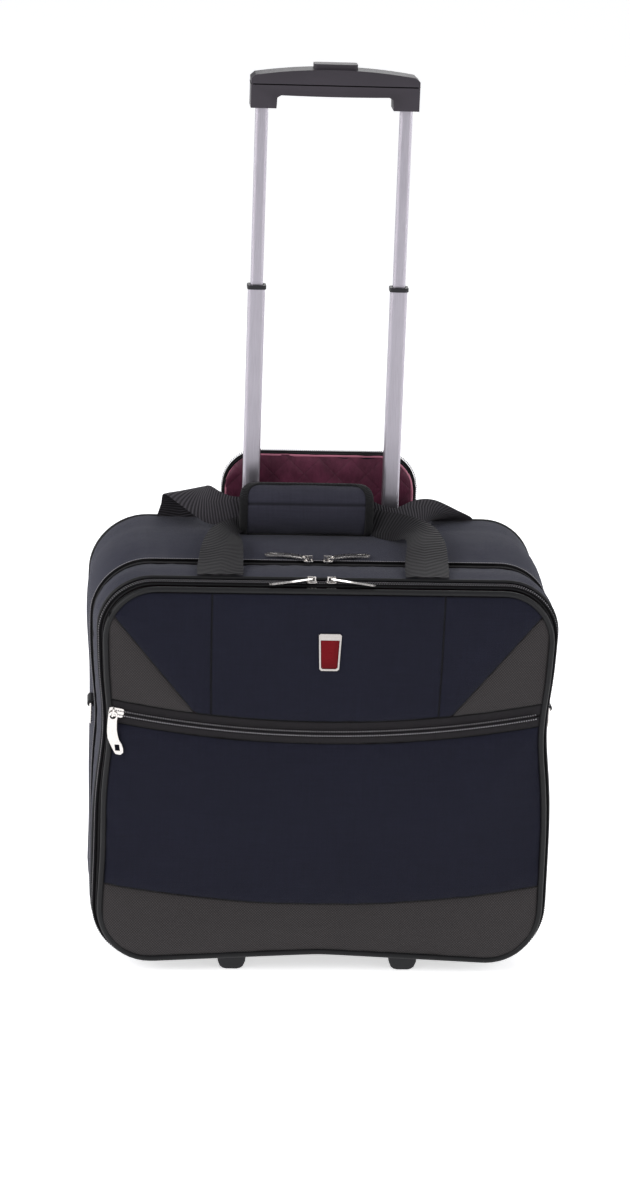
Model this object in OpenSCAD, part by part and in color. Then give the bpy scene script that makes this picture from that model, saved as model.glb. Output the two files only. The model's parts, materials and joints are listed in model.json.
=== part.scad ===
// Rolling laptop case: soft case with two zipped compartments, a carry handle in two
// webbing loops, two wheels, and a two-stage telescopic handle that stows in a top well.
// X runs across the case, +Y to its back, +Z up. The origin is on the floor, mid-case.

/* [Case] */
// Width of the front panel over its piping
case_w = 430; // [400:1:460]
// Depth of the case from front panel to back wall
case_d = 210; // [205:1:230]
// Height of the case's underside above the floor
ground = 15; // [14:1:18]
// Height of the front panel's top edge above the floor
panel_top = 380; // [372:1:385]
// How far the back section's top stands above the front panel's
back_rise = 8; // [5:0.5:8]
// Radius of the case's four corners in front view
corner_r = 50; // [40:1:60]
// Thickness of the padded case walls
wall = 3.5; // [3:0.5:4]

/* [Telescopic handle] */
// Distance between the two tube centre lines
tube_gap = 134; // [120:1:140]
// Height of the middle stage's collars at full extension
collar_top = 623; // [600:1:625]
// Height of the underside of the grip's legs at full extension
leg_bottom = 790; // [770:1:792]
// Width of the grip
grip_w = 156; // [150:1:160]

/* [Wheels and feet] */
// Radius of each wheel
wheel_r = 25; // [22:0.5:26]
// Distance of each wheel's middle from the case's middle
wheel_x = 165; // [155:1:168]
// Distance of each front foot's middle from the case's middle
foot_x = 81; // [70:1:110]

/* [Hidden] */
$fn = 48;

navy = [0.12, 0.13, 0.19];
black = [0.10, 0.10, 0.11];
accent = [0.27, 0.26, 0.25];
wine = [0.30, 0.11, 0.17];
alloy = [0.72, 0.70, 0.75];
nickel = [0.75, 0.72, 0.70];

half_w = case_w / 2;
front_y = -case_d / 2;
back_y = case_d / 2;
shell_half = half_w - 2;                // the walls stand 2 mm inside the piping
front_zip_y = front_y + 15.5;           // centre line of the front compartment's zip
main_zip_y = front_y + 69;              // centre line of the main compartment's zip
back_top = panel_top + back_rise;
gusset_top = panel_top + 2.5;
gusset_floor = ground + 5;
main_zip_top = gusset_top + 1.5;
front_zip_top = gusset_top - 3;
zip_tape = 5;                           // width of one half of a zip
zip_slit = 0.4;                         // half the gap between the two rows of a zip
tape_t = 1.4;
coil_h = 1.2;                           // how far the zip's coil stands above its tape

tube_x = tube_gap / 2;
tube_y = back_y - 28;
well_floor = 350;
well_half = 92.5;
well_front = tube_y - 17.5;
well_back = tube_y + 19.5;
divider_y = well_front - 2.5;
lining_t = 1.5;
base_half = 150;
outer_size = [20, 17];
middle_size = [16, 13];
upper_size = [11.8, 9];
tube_bottom = 24;
grip_d = 26;
arm_bottom = leg_bottom + 13;
grip_parting = leg_bottom + 22;
grip_top_end = leg_bottom + 30;
grip_top_mid = leg_bottom + 36.5;
cavity_floor = leg_bottom + 15.5;

wheel_y = back_y - 20;
wheel_w = 18;
axle_r = 3;
housing = [30, 51, 50];                 // size of one wheel housing

zip_arc_r = 1016;                       // radius of the sagging pocket zip
zip_arc_low = 241;                      // lowest height of the pocket zip
zip_arc_z = zip_arc_low + zip_arc_r;
pocket_tape = 10.5;                     // half the width of its tape
pocket_slider_a = 10.85;                // angle of the parked slider on that arc

web_t = 1.8;
wrap_y = 40;                            // middle of the wrap's oval section
wrap_z = gusset_top + 32.5;
wrap_x = [-80, 47];
wrap_size = [17.5, 24.5];               // the wrap's half depth and half height
wrap_t = 3.5;
wrap_ends = [48, 270];                  // the wrap's turn about its middle, open behind
flap_y = well_back + 0.5;
flap_t = 2.6;
flap_top = back_top + 67;
flap_bottom = back_top + 2.2;
flap_half = 92;
flap_r = 34;

ring_y = front_y + 93;                  // shoulder-strap rings, on the back section's sides
ring_z = 240;
ring_half = 13.2;
ring_off = 3.6;                         // distance of a ring's hinge from the wall

// ---- outlines and helpers ----
function arc(cx, cy, r, a0, a1, n = 9) =
    [for (i = [0:n]) let (a = a0 + (a1 - a0) * i / n) [cx + r * cos(a), cy + r * sin(a)]];
function outline(half, z0, z1, r) = concat(
    arc(half - r, z0 + r, r, -90, 0), arc(half - r, z1 - r, r, 0, 90),
    arc(-half + r, z1 - r, r, 90, 180), arc(-half + r, z0 + r, r, 180, 270));
function rounded(w, h, r, n = 4) = concat(
    arc(w / 2 - r, -h / 2 + r, r, -90, 0, n), arc(w / 2 - r, h / 2 - r, r, 0, 90, n),
    arc(-w / 2 + r, h / 2 - r, r, 90, 180, n), arc(-w / 2 + r, -h / 2 + r, r, 180, 270, n));
function unit(v) = v / norm(v);

// An outline in the X-Z plane, extruded along Y from y0 to y1
module slab(points, y0, y1)
    translate([0, y1, 0]) rotate([90, 0, 0]) linear_extrude(height = y1 - y0) polygon(points);
// An outline in the Y-Z plane, extruded along X from x0 to x1
module cross_slab(points, x0, x1)
    translate([x0, 0, 0]) rotate([90, 0, 90]) linear_extrude(height = x1 - x0) polygon(points);
module box(low, high) translate(low) cube(high - low);
// A hollow frame that follows the case's outline
module frame(half, z0, z1, thick, y0, y1) difference() {
    slab(outline(half, z0, z1, corner_r), y0, y1);
    slab(outline(half - thick, z0 + thick, z1 - thick, corner_r - thick), y0 - 1, y1 + 1);
}
// A cylinder along X or Y
module rod_x(x0, x1, y, z, r) translate([x0, y, z]) rotate([0, 90, 0]) cylinder(h = x1 - x0, r = r);
module rod_y(y0, y1, x, z, r) translate([x, y1, z]) rotate([90, 0, 0]) cylinder(h = y1 - y0, r = r);

// A flat band through stations of [centre, half-width vector], smoothed between them
function spline(a, b, c, d, t) = 0.5 * ((2 * b) + (c - a) * t + (2 * a - 5 * b + 4 * c - d) * t * t
    + (3 * b - a - 3 * c + d) * t * t * t);
function smooth(s, steps) = [for (i = [0:len(s) - 2]) for (k = [0:(i == len(s) - 2 ? steps : steps - 1)])
    let (t = k / steps, a = s[max(i - 1, 0)], b = s[i], c = s[i + 1], d = s[min(i + 2, len(s) - 1)])
    [spline(a[0], b[0], c[0], d[0], t), spline(a[1], b[1], c[1], d[1], t)]];
function band_ring(s, i, t) =
    let (ahead = unit(s[min(i + 1, len(s) - 1)][0] - s[max(i - 1, 0)][0]),
        w = s[i][1], n = unit(cross(ahead, w)) * t / 2, c = s[i][0])
    [c - w - n, c + w - n, c + w + n, c - w + n];
module band(stations, t, steps = 3) {
    s = smooth(stations, steps);
    last = len(s) - 1;
    points = [for (i = [0:last]) each band_ring(s, i, t)];
    sides = [for (i = [0:last - 1]) for (k = [0:3])
        let (a = 4 * i + k, b = 4 * i + (k + 1) % 4) each k < 2 ? [[a, b, b + 4], [a, b + 4, a + 4]]
            : [[a, b, a + 4], [b, b + 4, a + 4]]];
    polyhedron(points, concat([[3, 2, 1], [3, 1, 0]], sides,
        [[4 * last, 4 * last + 1, 4 * last + 2], [4 * last, 4 * last + 2, 4 * last + 3]]), 6);
}
module both_sides() {
    children();
    mirror([1, 0, 0]) children();
}

// ---- back section ----
module main_shell() color(navy) difference() {
    slab(outline(shell_half, ground, back_top, corner_r), main_zip_y + zip_tape, back_y);
    slab(outline(shell_half - wall, ground + wall, back_top - wall, corner_r - wall),
        main_zip_y, back_y - wall);
    box([-well_half, well_front, well_floor], [well_half, well_back, back_top + 1]);
    both_sides() housing_block(0);
}
module main_lining() color(wine) difference() {
    slab(outline(shell_half - wall, ground + wall, back_top - wall, corner_r - wall),
        main_zip_y + zip_tape, divider_y);
    slab(outline(shell_half - wall - lining_t, ground + wall + lining_t, back_top - wall - lining_t,
        corner_r - wall - lining_t), main_zip_y, divider_y + 1);
    both_sides() housing_block(0);
}
module divider() color(wine) difference() {
    slab(outline(shell_half - wall, ground + wall, back_top - wall, corner_r - wall), divider_y, well_front);
    both_sides() housing_block(0);
}
module base_plate() color(black)
    box([-base_half, front_y + 16, ground], [base_half, main_zip_y + zip_tape, ground + 4]);
module well_lining() color(wine) difference() {
    box([-well_half, well_front, well_floor], [well_half, well_back, back_top]);
    box([-well_half + 1.5, well_front + 1.5, well_floor + 1.5],
        [well_half - 1.5, well_back - 1.5, back_top + 1]);
    for (x = [-tube_x, tube_x]) tube_hole(x, well_floor - 1, well_floor + 3, middle_size + [3, 3]);
}
module tube_hole(x, z0, z1, size) translate([x, tube_y, z0])
    linear_extrude(height = z1 - z0) polygon(rounded(size[0], size[1], 3));
module tube(x, z0, z1, size, thick) difference() {
    tube_hole(x, z0, z1, size);
    tube_hole(x, z0 - 1, z1 + 1, size - 2 * [thick, thick]);
}
module handle_mounts() color(black) {
    difference() {
        box([-88, well_front + 2, well_floor - 7], [88, well_back - 2, well_floor]);
        for (x = [-tube_x, tube_x]) tube_hole(x, well_floor - 8, well_floor + 1, middle_size + [0.7, 0.7]);
    }
    difference() {
        box([-88, tube_y - 12, ground + wall], [88, tube_y + 12, ground + wall + 18]);
        for (x = [-tube_x, tube_x]) tube_hole(x, tube_bottom, 60, outer_size);
    }
}
module outer_tubes() color(alloy)
    for (x = [-tube_x, tube_x]) tube(x, tube_bottom, well_floor - 7, outer_size, 1.2);
module housing_block(inset)
    box([wheel_x - housing[0] / 2 + inset, back_y - housing[1] + inset, ground - 3],
        [wheel_x + housing[0] / 2 - inset, back_y + 2, ground - 3 + housing[2] - inset]);
module wheel_housings() color(black) both_sides() difference() {
    box([wheel_x - housing[0] / 2, back_y - housing[1], ground - 3],
        [wheel_x + housing[0] / 2, back_y, ground - 3 + housing[2]]);
    rod_x(wheel_x - wheel_w / 2 - 1.5, wheel_x + wheel_w / 2 + 1.5, wheel_y, wheel_r, wheel_r + 2.5);
    box([wheel_x - wheel_w / 2 - 1.5, wheel_y, ground - 4],
        [wheel_x + wheel_w / 2 + 1.5, back_y + 1, wheel_r + 20]);
    rod_x(wheel_x - 20, wheel_x + 20, wheel_y, wheel_r, axle_r);
}
module axles() color(nickel) both_sides()
    rod_x(wheel_x - housing[0] / 2, wheel_x + housing[0] / 2, wheel_y, wheel_r, axle_r);
module housing_screws() color(nickel) both_sides() for (y = [-16, -38])
    rod_x(wheel_x - housing[0] / 2 - 2, wheel_x - housing[0] / 2, back_y + y, 54, 3.5);
foot_outline = [[13.5, ground], [-13.5, ground], [-13, 8], [-11, 3], [-8.5, 0.9], [-5, 0], [5, 0], [8.5, 0.9],
    [11, 3], [13, 8]];
module front_feet() color(black) both_sides() translate([foot_x, 0, 0])
    slab(foot_outline, front_y + 14, front_y + 40);
module laptop_sleeve() color(wine) difference() {
    box([-182, divider_y - 20, ground + 12], [182, divider_y, 292]);
    box([-178, divider_y - 15, ground + 16], [178, divider_y - 2, 293]);
    both_sides() housing_block(-2);
}
module sleeve_strap() color(black) difference() {
    box([-25, divider_y - 21.5, 262], [25, divider_y, 312]);
    box([-26, divider_y - 20, 261], [26, divider_y - 1.5, 310]);
    box([-26, divider_y - 2, 261], [26, divider_y + 1, 292.2]);
}
module ring_tabs() color(black) both_sides() difference() {
    union() {
        box([shell_half, ring_y - 11, ring_z], [shell_half + 1.5, ring_y + 11, ring_z + 14]);
        rod_y(ring_y - 11, ring_y + 11, shell_half + ring_off, ring_z, ring_off);
    }
    rod_y(ring_y - 12, ring_y + 12, shell_half + ring_off, ring_z, 1.9);
}
module back_piping() color(black) difference() {
    slab(outline(shell_half + 1.6, ground - 1.6, back_top + 1.2, corner_r), back_y - 4.5, back_y - 1);
    slab(outline(shell_half, ground, back_top, corner_r), back_y - 6, back_y);
    both_sides() housing_block(0);
}
// One half of a zip over the top and both sides: the tape, and the coil that stands proud of it
module zip_half(z0, z1, y0, y1, coil_y) color(black) difference() {
    union() {
        frame(shell_half, z0, z1, tape_t, y0, y1);
        frame(shell_half + coil_h, z0, z1 + coil_h, coil_h, coil_y, coil_y + 1.2);
    }
    box([-base_half, y0 - 9, z0 - 9], [base_half, y1 + 9, z0 + 9]);
}
module main_zip_rear()
    zip_half(ground, main_zip_top, main_zip_y + zip_slit, main_zip_y + zip_tape, main_zip_y + zip_slit);
// ---- stowage flap behind the tubes ----
module flap_outline(grow, y0, y1) slab(concat(
    [[-flap_half - grow, flap_bottom], [flap_half + grow, flap_bottom]],
    arc(flap_half - flap_r, flap_top - flap_r, flap_r + grow, 0, 90),
    arc(-flap_half + flap_r, flap_top - flap_r, flap_r + grow, 90, 180)), y0, y1);
module handle_flap() color(navy) flap_outline(0, flap_y + 1.2, flap_y + 1.2 + flap_t);
module flap_lining() color(wine) flap_outline(-3, flap_y, flap_y + 1.2);
module flap_zip() color(black) difference() {
    flap_outline(2, flap_y + 1.6, flap_y + 3.4);
    flap_outline(0, flap_y, flap_y + 6);
    box([-100, flap_y, 0], [100, flap_y + 6, flap_bottom + 1]);
}

// ---- front section: the front compartment, zipped to the back section ----
gusset_y0 = front_zip_y + zip_tape;
gusset_y1 = main_zip_y - zip_tape;
gusset_back = 2.5;                      // thickness of the wall between the two compartments
module gusset_shell() color(navy) difference() {
    slab(outline(shell_half, gusset_floor, gusset_top, corner_r), gusset_y0, gusset_y1);
    slab(outline(shell_half - 3, gusset_floor + 3, gusset_top - 3, corner_r - 3),
        gusset_y0 - 1, gusset_y1 - gusset_back);
}
module organizer() color(wine) difference() {
    box([-150, gusset_y1 - gusset_back - 8, 60], [150, gusset_y1 - gusset_back, 250]);
    for (i = [-1:1]) box([i * 98 - 46, gusset_y1 - gusset_back - 6.8, 64],
        [i * 98 + 46, gusset_y1 - gusset_back - 1, 251]);
}
module main_zip_front()
    zip_half(gusset_floor, main_zip_top, gusset_y1, main_zip_y - zip_slit, main_zip_y - zip_slit - 1.2);
module front_zip_rear()
    zip_half(gusset_floor, front_zip_top, front_zip_y + zip_slit, gusset_y0, front_zip_y + zip_slit);
module gusset_piping() color(black) difference() {
    slab(outline(shell_half + 1.8, gusset_floor - 0.5, gusset_top + 1.5, corner_r), gusset_y0, gusset_y0 + 3);
    slab(outline(shell_half, gusset_floor - 1, gusset_top, corner_r), gusset_y0 - 1, gusset_y0 + 4);
    box([-base_half, gusset_y0 - 1, 0], [base_half, gusset_y0 + 4, gusset_floor + 9]);
}

// ---- carry handle: two webbing loops under one padded wrap ----
// The loops' heights are measured from the top of the section each is sewn to
front_loop = [
    [[-101, -84, 3.5], [21, 0, 0]], [[-100, -60, 7.8], [21, 0, 1]], [[-97, -27, 15.2], [19, -1, -1]],
    [[-93, 0, 20.2], [14, -5, -3]], [[-86, 20, 21.5], [7, -7, -8]], [[-74, 32, 26.5], [0, -2, -12]],
    [[-12, 33.5, 30.5], [0, -1, -12]], [[34, 33.5, 28.5], [0, -2, -12]], [[52, 31, 21.5], [-2, -4, -12]],
    [[72, 22, 20.5], [-7, -9, -10]], [[88, 4, 21.5], [-14, -10, -4]], [[93, -20, 17.5], [-18, -4, -1]],
    [[91, -52, 9], [-20, 0, 0]], [[89, -84, 3.5], [-20, 0, 0]]];
rear_loop = [
    [[-136, 98, 0.3], [20, 0, 0]], [[-133, 94, 17], [19, 1, 2]], [[-129, 85, 31], [20, 2, 3]],
    [[-122, 72, 29.5], [11, 6, 8]], [[-108, 60, 25], [2, 4, 17]], [[-92, 51, 23], [0, 2, 14]],
    [[-74, 47.5, 24], [0, 1, 11.5]], [[-12, 47, 24], [0, 0, 11.5]],
    [[40, 47.5, 23], [0, 1, 11.5]], [[56, 48, 19.5], [0, 1, 10.5]], [[72, 50.5, 16], [-1, 2, 10.5]],
    [[90, 58, 18.5], [0, 5, 13]], [[104, 67, 17], [6, 6, 12]], [[119, 82, 10], [17, 5, 4]],
    [[129, 95, 4.5], [20, 2, 0.5]],
    [[130, 98, 0.3], [20, 0, 0]]];
module front_handle_web() color(black) translate([0, 0, gusset_top]) band(front_loop, web_t);
module rear_handle_web() color(black) translate([0, 0, back_top]) band(rear_loop, web_t);
function oval(size, a0, a1, n = 18) = [for (i = [0:n]) let (a = a0 + (a1 - a0) * i / n)
    [wrap_y + size[0] * cos(a), wrap_z + size[1] * sin(a)]];
module handle_wrap() color(navy)
    cross_slab(concat(oval(wrap_size, wrap_ends[0], wrap_ends[1]),
        oval(wrap_size - [wrap_t, wrap_t], wrap_ends[1], wrap_ends[0])), wrap_x[0], wrap_x[1]);

// ---- front panel with its outside pocket ----
function zip_line(offset, x0, x1, n = 16) = [for (i = [0:n]) let (x = x0 + (x1 - x0) * i / n)
    [x, zip_arc_z - sqrt(pow(zip_arc_r + offset, 2) - x * x)]];
panel_y0 = front_y + 1.5;               // front face of the panel's fabric
panel_y1 = front_y + 8;
panel_half = half_w - 6;
module panel_area(y0, y1) slab(outline(panel_half, ground + 6, panel_top - 6, corner_r - 6), y0, y1);
module above_zip(y0, y1, offset) slab(concat([[240, 420], [-240, 420]], zip_line(offset, -240, 240)), y0, y1);
module below_zip(y0, y1, offset) slab(concat([[240, 0], [-240, 0]], zip_line(offset, -240, 240)), y0, y1);
accent_line = [for (i = [-8:8]) [i * 30, 71 + 20 * pow(i / 7, 2)]];
module corner_zone(y0, y1) both_sides()
    slab([[121, 250], [121, 261], [199, 354], [230, 380], [230, 250]], y0, y1);
module upper_panel() color(navy) difference() {
    intersection() {
        panel_area(panel_y0, panel_y1);
        above_zip(front_y, 0, -pocket_tape);
    }
    corner_zone(front_y, panel_y0 + 3);
}
module corner_accents() color(accent) intersection() {
    panel_area(panel_y0, panel_y0 + 3);
    above_zip(front_y, 0, -pocket_tape);
    corner_zone(front_y, 0);
}
module pocket_panel() color(navy) difference() {
    intersection() {
        panel_area(panel_y0, panel_y1);
        below_zip(front_y, 0, pocket_tape);
    }
    slab(concat([[240, 0], [-240, 0]], accent_line), front_y, panel_y0 + 3);
}
module bottom_accent() color(accent) intersection() {
    panel_area(panel_y0, panel_y0 + 3);
    slab(concat([[240, 0], [-240, 0]], accent_line), front_y, 0);
}
module pocket_zip() color(black) intersection() {
    panel_area(front_y, panel_y1);
    difference() {
        slab(concat(zip_line(-pocket_tape, -240, 240), zip_line(pocket_tape, 240, -240)),
            panel_y0 + 1, panel_y0 + 1 + tape_t);
        slab(concat(zip_line(-zip_slit, -240, 240), zip_line(zip_slit, 240, -240)), front_y, 0);
    }
}
panel_y2 = front_y + 11;
module panel_back() color(black)
    slab(outline(shell_half, ground + 2, front_zip_top, corner_r), panel_y1, panel_y2);
module panel_piping() color(black) frame(half_w, ground, panel_top, 6, front_y, panel_y1);
module front_zip_front()
    zip_half(ground + 2, front_zip_top, panel_y2, front_zip_y - zip_slit, front_zip_y - zip_slit - 1.2);
badge_z = 320;
function at_badge(points) = [for (p = points) p + [0, badge_z]];
badge_outline = at_badge([[-10.5, 16], [-8.9, 17.7], [8.9, 17.7], [10.5, 16], [9.1, -16], [7.3, -17.7],
    [-7.3, -17.7], [-9.1, -16]]);
inlay_outline = at_badge([[-8.7, 11.6], [8.7, 11.6], [7.6, -14.6], [6.2, -15.8], [-6.2, -15.8], [-7.6, -14.6]]);
module badge_frame() color(nickel) difference() {
    slab(badge_outline, front_y - 1.5, panel_y0);
    slab(inlay_outline, front_y - 2, front_y);
}
module badge_inlay() color([0.6, 0.05, 0.1]) slab(inlay_outline, front_y - 1, front_y);

// ---- zip sliders and pulls ----
// A slider on a zip that runs along X and faces up, with its bridge over the pull's bar
bridge_z = coil_h + 2;
pull_z = bridge_z + 1.8;                // height of the pull's hinge above the zip's tape
module slider() {
    for (z = [-2.9, coil_h + 0.9]) translate([0, 0, z]) linear_extrude(height = 1.1)
        polygon(rounded(9.5, 8.4, 2));
    box([-1.5, -zip_slit + 0.12, -2], [1.5, zip_slit - 0.12, coil_h + 1]);
    bridge(bridge_z);
}
module bridge(z) difference() {
    box([-3.8, -0.8, z - 0.1], [3.8, 0.8, z + 4.6]);
    box([-2.5, -1, z - 0.2], [2.5, 1, z + 3.6]);
}
// A pull along +X that bends to +Y near its tip. The rim of its ring is the bar that hinges on the Y axis
ring_at = [3.4, 0];                     // middle of the ring at the pull's head
pull_t = 1.6;
pull_tab = [[3.4, -4.3], [12, -5], [18.4, -5.1], [24.6, -4.5], [28.7, -2.9], [32.8, -1], [36.9, 1],
    [40, 2.8], [40.9, 7.5], [38.6, 9.9], [34.9, 9.7], [30.8, 8.4], [26.7, 6], [22.5, 4.7], [16.4, 3.7],
    [8, 3.7], [3.4, 4.3]];
pull_hole = [[30.8, 1.8], [31, 6.2], [37, 7], [36.8, 2.6]];
module pull() translate([0, 0, -pull_t / 2]) linear_extrude(height = pull_t) difference() {
    union() {
        translate(ring_at) circle(r = 4.3);
        polygon(pull_tab);
    }
    translate(ring_at) circle(r = 2.85);
    polygon(pull_hole);
}
pocket_at = [-zip_arc_r * sin(pocket_slider_a), zip_arc_z - zip_arc_r * cos(pocket_slider_a)];
tape_face = panel_y0 + 1;
bail_at = -5.6;                         // place of the pocket slider's bridge along its zip
bail_z = 2.6;
module pocket_slider() color(nickel) translate([pocket_at[0], tape_face, pocket_at[1]])
    rotate([0, pocket_slider_a, 0]) rotate([90, 0, 0]) {
        translate([-2.5, 0, 0.4]) linear_extrude(height = bail_z - 0.4) polygon(rounded(14, 8.8, 2.5));
        box([-1.5, -zip_slit + 0.12, -3], [1.5, zip_slit - 0.12, 0.5]);
        translate([bail_at, 0, 0]) rotate([0, 0, 90]) bridge(bail_z);
    }
module pocket_pull() color(nickel) translate([pocket_at[0] + bail_at * cos(pocket_slider_a),
    tape_face - bail_z - 1.8, pocket_at[1] - bail_at * sin(pocket_slider_a)])
    rotate([0, 90, 0]) rotate([90, 0, 0]) pull();
// A pull that lies on the case's top and points right or, mirrored, left
module lying_pull(at, left, turn, tilt, bend) color(nickel) translate(at)
    mirror([left ? 1 : 0, 0, 0]) rotate([0, 0, turn]) rotate([tilt, 0, 0]) mirror([0, bend, 0]) pull();
slider_x = 9;                           // half the distance between two parked sliders
slider_lean = -8.5;                     // how far the parked pairs sit off the middle
module front_slider(x) color(nickel) translate([x, front_zip_y, front_zip_top]) slider();
module main_slider(x) color(nickel) translate([x, main_zip_y, main_zip_top]) slider();
front_pull_turn = -27;
front_pull_tilt = -18;
main_pull_turn = 25;
module front_pull(x, left) lying_pull([x, front_zip_y, front_zip_top + pull_z + 0.5], left,
    front_pull_turn, front_pull_tilt, 0);
module main_pull(x, left) lying_pull([x, main_zip_y, main_zip_top + pull_z], left, main_pull_turn, 0, 1);

// ---- telescopic handle ----
module middle_tubes() color(alloy)
    for (x = [-tube_x, tube_x]) tube(x, collar_top - 318, collar_top - 4, middle_size, 1.2);
module middle_collars() color(black) for (x = [-tube_x, tube_x]) difference() {
    tube_hole(x, collar_top - 4, collar_top, middle_size + [2, 2]);
    tube_hole(x, collar_top - 5, collar_top + 1, upper_size + [0.7, 0.7]);
}
module upper_tubes() color(alloy)
    for (x = [-tube_x, tube_x]) tube(x, collar_top - 45, leg_bottom + 12, upper_size, 1.1);
// The grip's bow in front view, from the parting line up or down
function bow(x0, x1, z_end, z_mid, n = 14) = [for (i = [0:n]) let (x = x0 + (x1 - x0) * i / n)
    [x, z_mid + (z_end - z_mid) * pow(2 * x / grip_w, 2)]];
module grip_cavity() box([-73, tube_y - 9, cavity_floor], [73, tube_y + 9, grip_top_end - 2]);
module grip_lower() color(black) difference() {
    slab(concat([[-grip_w / 2, leg_bottom], [-tube_x + 13, leg_bottom], [-tube_x + 13.5, arm_bottom - 3]],
        bow(-tube_x + 17, tube_x - 17, arm_bottom, arm_bottom - 1.5), [[tube_x - 13.5, arm_bottom - 3],
        [tube_x - 13, leg_bottom], [grip_w / 2, leg_bottom], [grip_w / 2, grip_parting],
        [-grip_w / 2, grip_parting]]), tube_y - grip_d / 2, tube_y + grip_d / 2);
    grip_cavity();
    for (x = [-tube_x, tube_x]) {
        tube_hole(x, leg_bottom - 1, leg_bottom + 12, upper_size);
        translate([x, tube_y, leg_bottom]) cylinder(h = 20, r = 2.6);
    }
}
module grip_upper() color(black) difference() {
    slab(concat([[-grip_w / 2, grip_parting]], [[grip_w / 2, grip_parting], [grip_w / 2, grip_top_end - 3]],
        bow(grip_w / 2 - 4, -grip_w / 2 + 4, grip_top_end, grip_top_mid), [[-grip_w / 2, grip_top_end - 3]]),
        tube_y - grip_d / 2, tube_y + grip_d / 2);
    grip_cavity();
    translate([0, tube_y, grip_parting - 1]) linear_extrude(height = 30) polygon(rounded(41.2, 17.2, 3));
}
module grip_button() color(black) {
    translate([0, tube_y, cavity_floor + 9]) linear_extrude(height = grip_top_mid + 4.5 - cavity_floor - 9)
        polygon(rounded(40.6, 16.6, 3));
    box([-70, tube_y - 4, cavity_floor + 4.5], [70, tube_y + 4, cavity_floor + 9.5]);
    for (x = [-tube_x, tube_x]) translate([x, tube_y, collar_top - 35])
        cylinder(h = cavity_floor + 5 - collar_top + 35, r = 2);
}
module button_spring() color(nickel) translate([0, tube_y, cavity_floor]) difference() {
    cylinder(h = 4.5, r = 4);
    translate([0, 0, -1]) cylinder(h = 7, r = 3);
}

// ---- wheels ----
module wheel_part(x, r0, r1, w) translate([x - w / 2, wheel_y, wheel_r]) rotate([0, 90, 0])
    difference() {
        union() {
            translate([0, 0, 2]) cylinder(h = w - 4, r = r1);
            cylinder(h = 2, r1 = r1 - 1.5, r2 = r1);
            translate([0, 0, w - 2]) cylinder(h = 2, r1 = r1, r2 = r1 - 1.5);
        }
        translate([0, 0, -1]) cylinder(h = w + 2, r = r0);
    }
module tyre(x) color(black) wheel_part(x, wheel_r - 6, wheel_r, wheel_w);
module hub(x) color(accent) wheel_part(x, axle_r + 0.06, wheel_r - 6, wheel_w + 1);

// ---- shoulder-strap rings ----
module d_ring() color(nickel) translate([-shell_half - ring_off, ring_y, ring_z]) {
    rod_y(-ring_half, ring_half, 0, 0, 1.5);
    for (y = [-ring_half, ring_half]) translate([0, y, -8]) {
        cylinder(h = 8, r = 1.5);
        translate([0, 0, 8]) sphere(r = 1.5);
    }
    translate([0, 0, -8]) rotate([0, 90, 0]) rotate([0, 0, -90]) rotate_extrude(angle = 180)
        translate([ring_half, 0]) circle(r = 1.5);
}

main_shell();
main_lining();
divider();
base_plate();
well_lining();
handle_mounts();
outer_tubes();
wheel_housings();
axles();
front_feet();
rear_handle_web();
main_zip_rear();
laptop_sleeve();
sleeve_strap();
ring_tabs();
back_piping();
housing_screws();
handle_flap();
flap_lining();
flap_zip();
gusset_shell();
organizer();
main_zip_front();
front_zip_rear();
gusset_piping();
front_handle_web();
handle_wrap();
upper_panel();
pocket_panel();
corner_accents();
bottom_accent();
panel_back();
panel_piping();
front_zip_front();
pocket_zip();
badge_frame();
badge_inlay();
pocket_slider();
pocket_pull();
front_slider(slider_lean - slider_x);  // front_slider_left
front_pull(slider_lean - slider_x, true);  // front_pull_left
front_slider(slider_lean + slider_x);  // front_slider_right
front_pull(slider_lean + slider_x, false);  // front_pull_right
main_slider(slider_lean - slider_x);  // main_slider_left
main_pull(slider_lean - slider_x, true);  // main_pull_left
main_slider(slider_lean + slider_x);  // main_slider_right
main_pull(slider_lean + slider_x, false);  // main_pull_right
middle_tubes();
middle_collars();
upper_tubes();
grip_lower();
grip_upper();
grip_button();
button_spring();
tyre(-wheel_x);  // tyre_left
hub(-wheel_x);  // hub_left
tyre(wheel_x);  // tyre_right
hub(wheel_x);  // hub_right
d_ring();  // ring_left
mirror([1, 0, 0]) d_ring();  // ring_right
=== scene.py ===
"""Rolling laptop case: its cloth, zips, webbing and hard parts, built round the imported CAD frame."""
import json
import math

import bmesh
import bpy
import numpy as np
from mathutils import Matrix, Vector, noise

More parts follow.
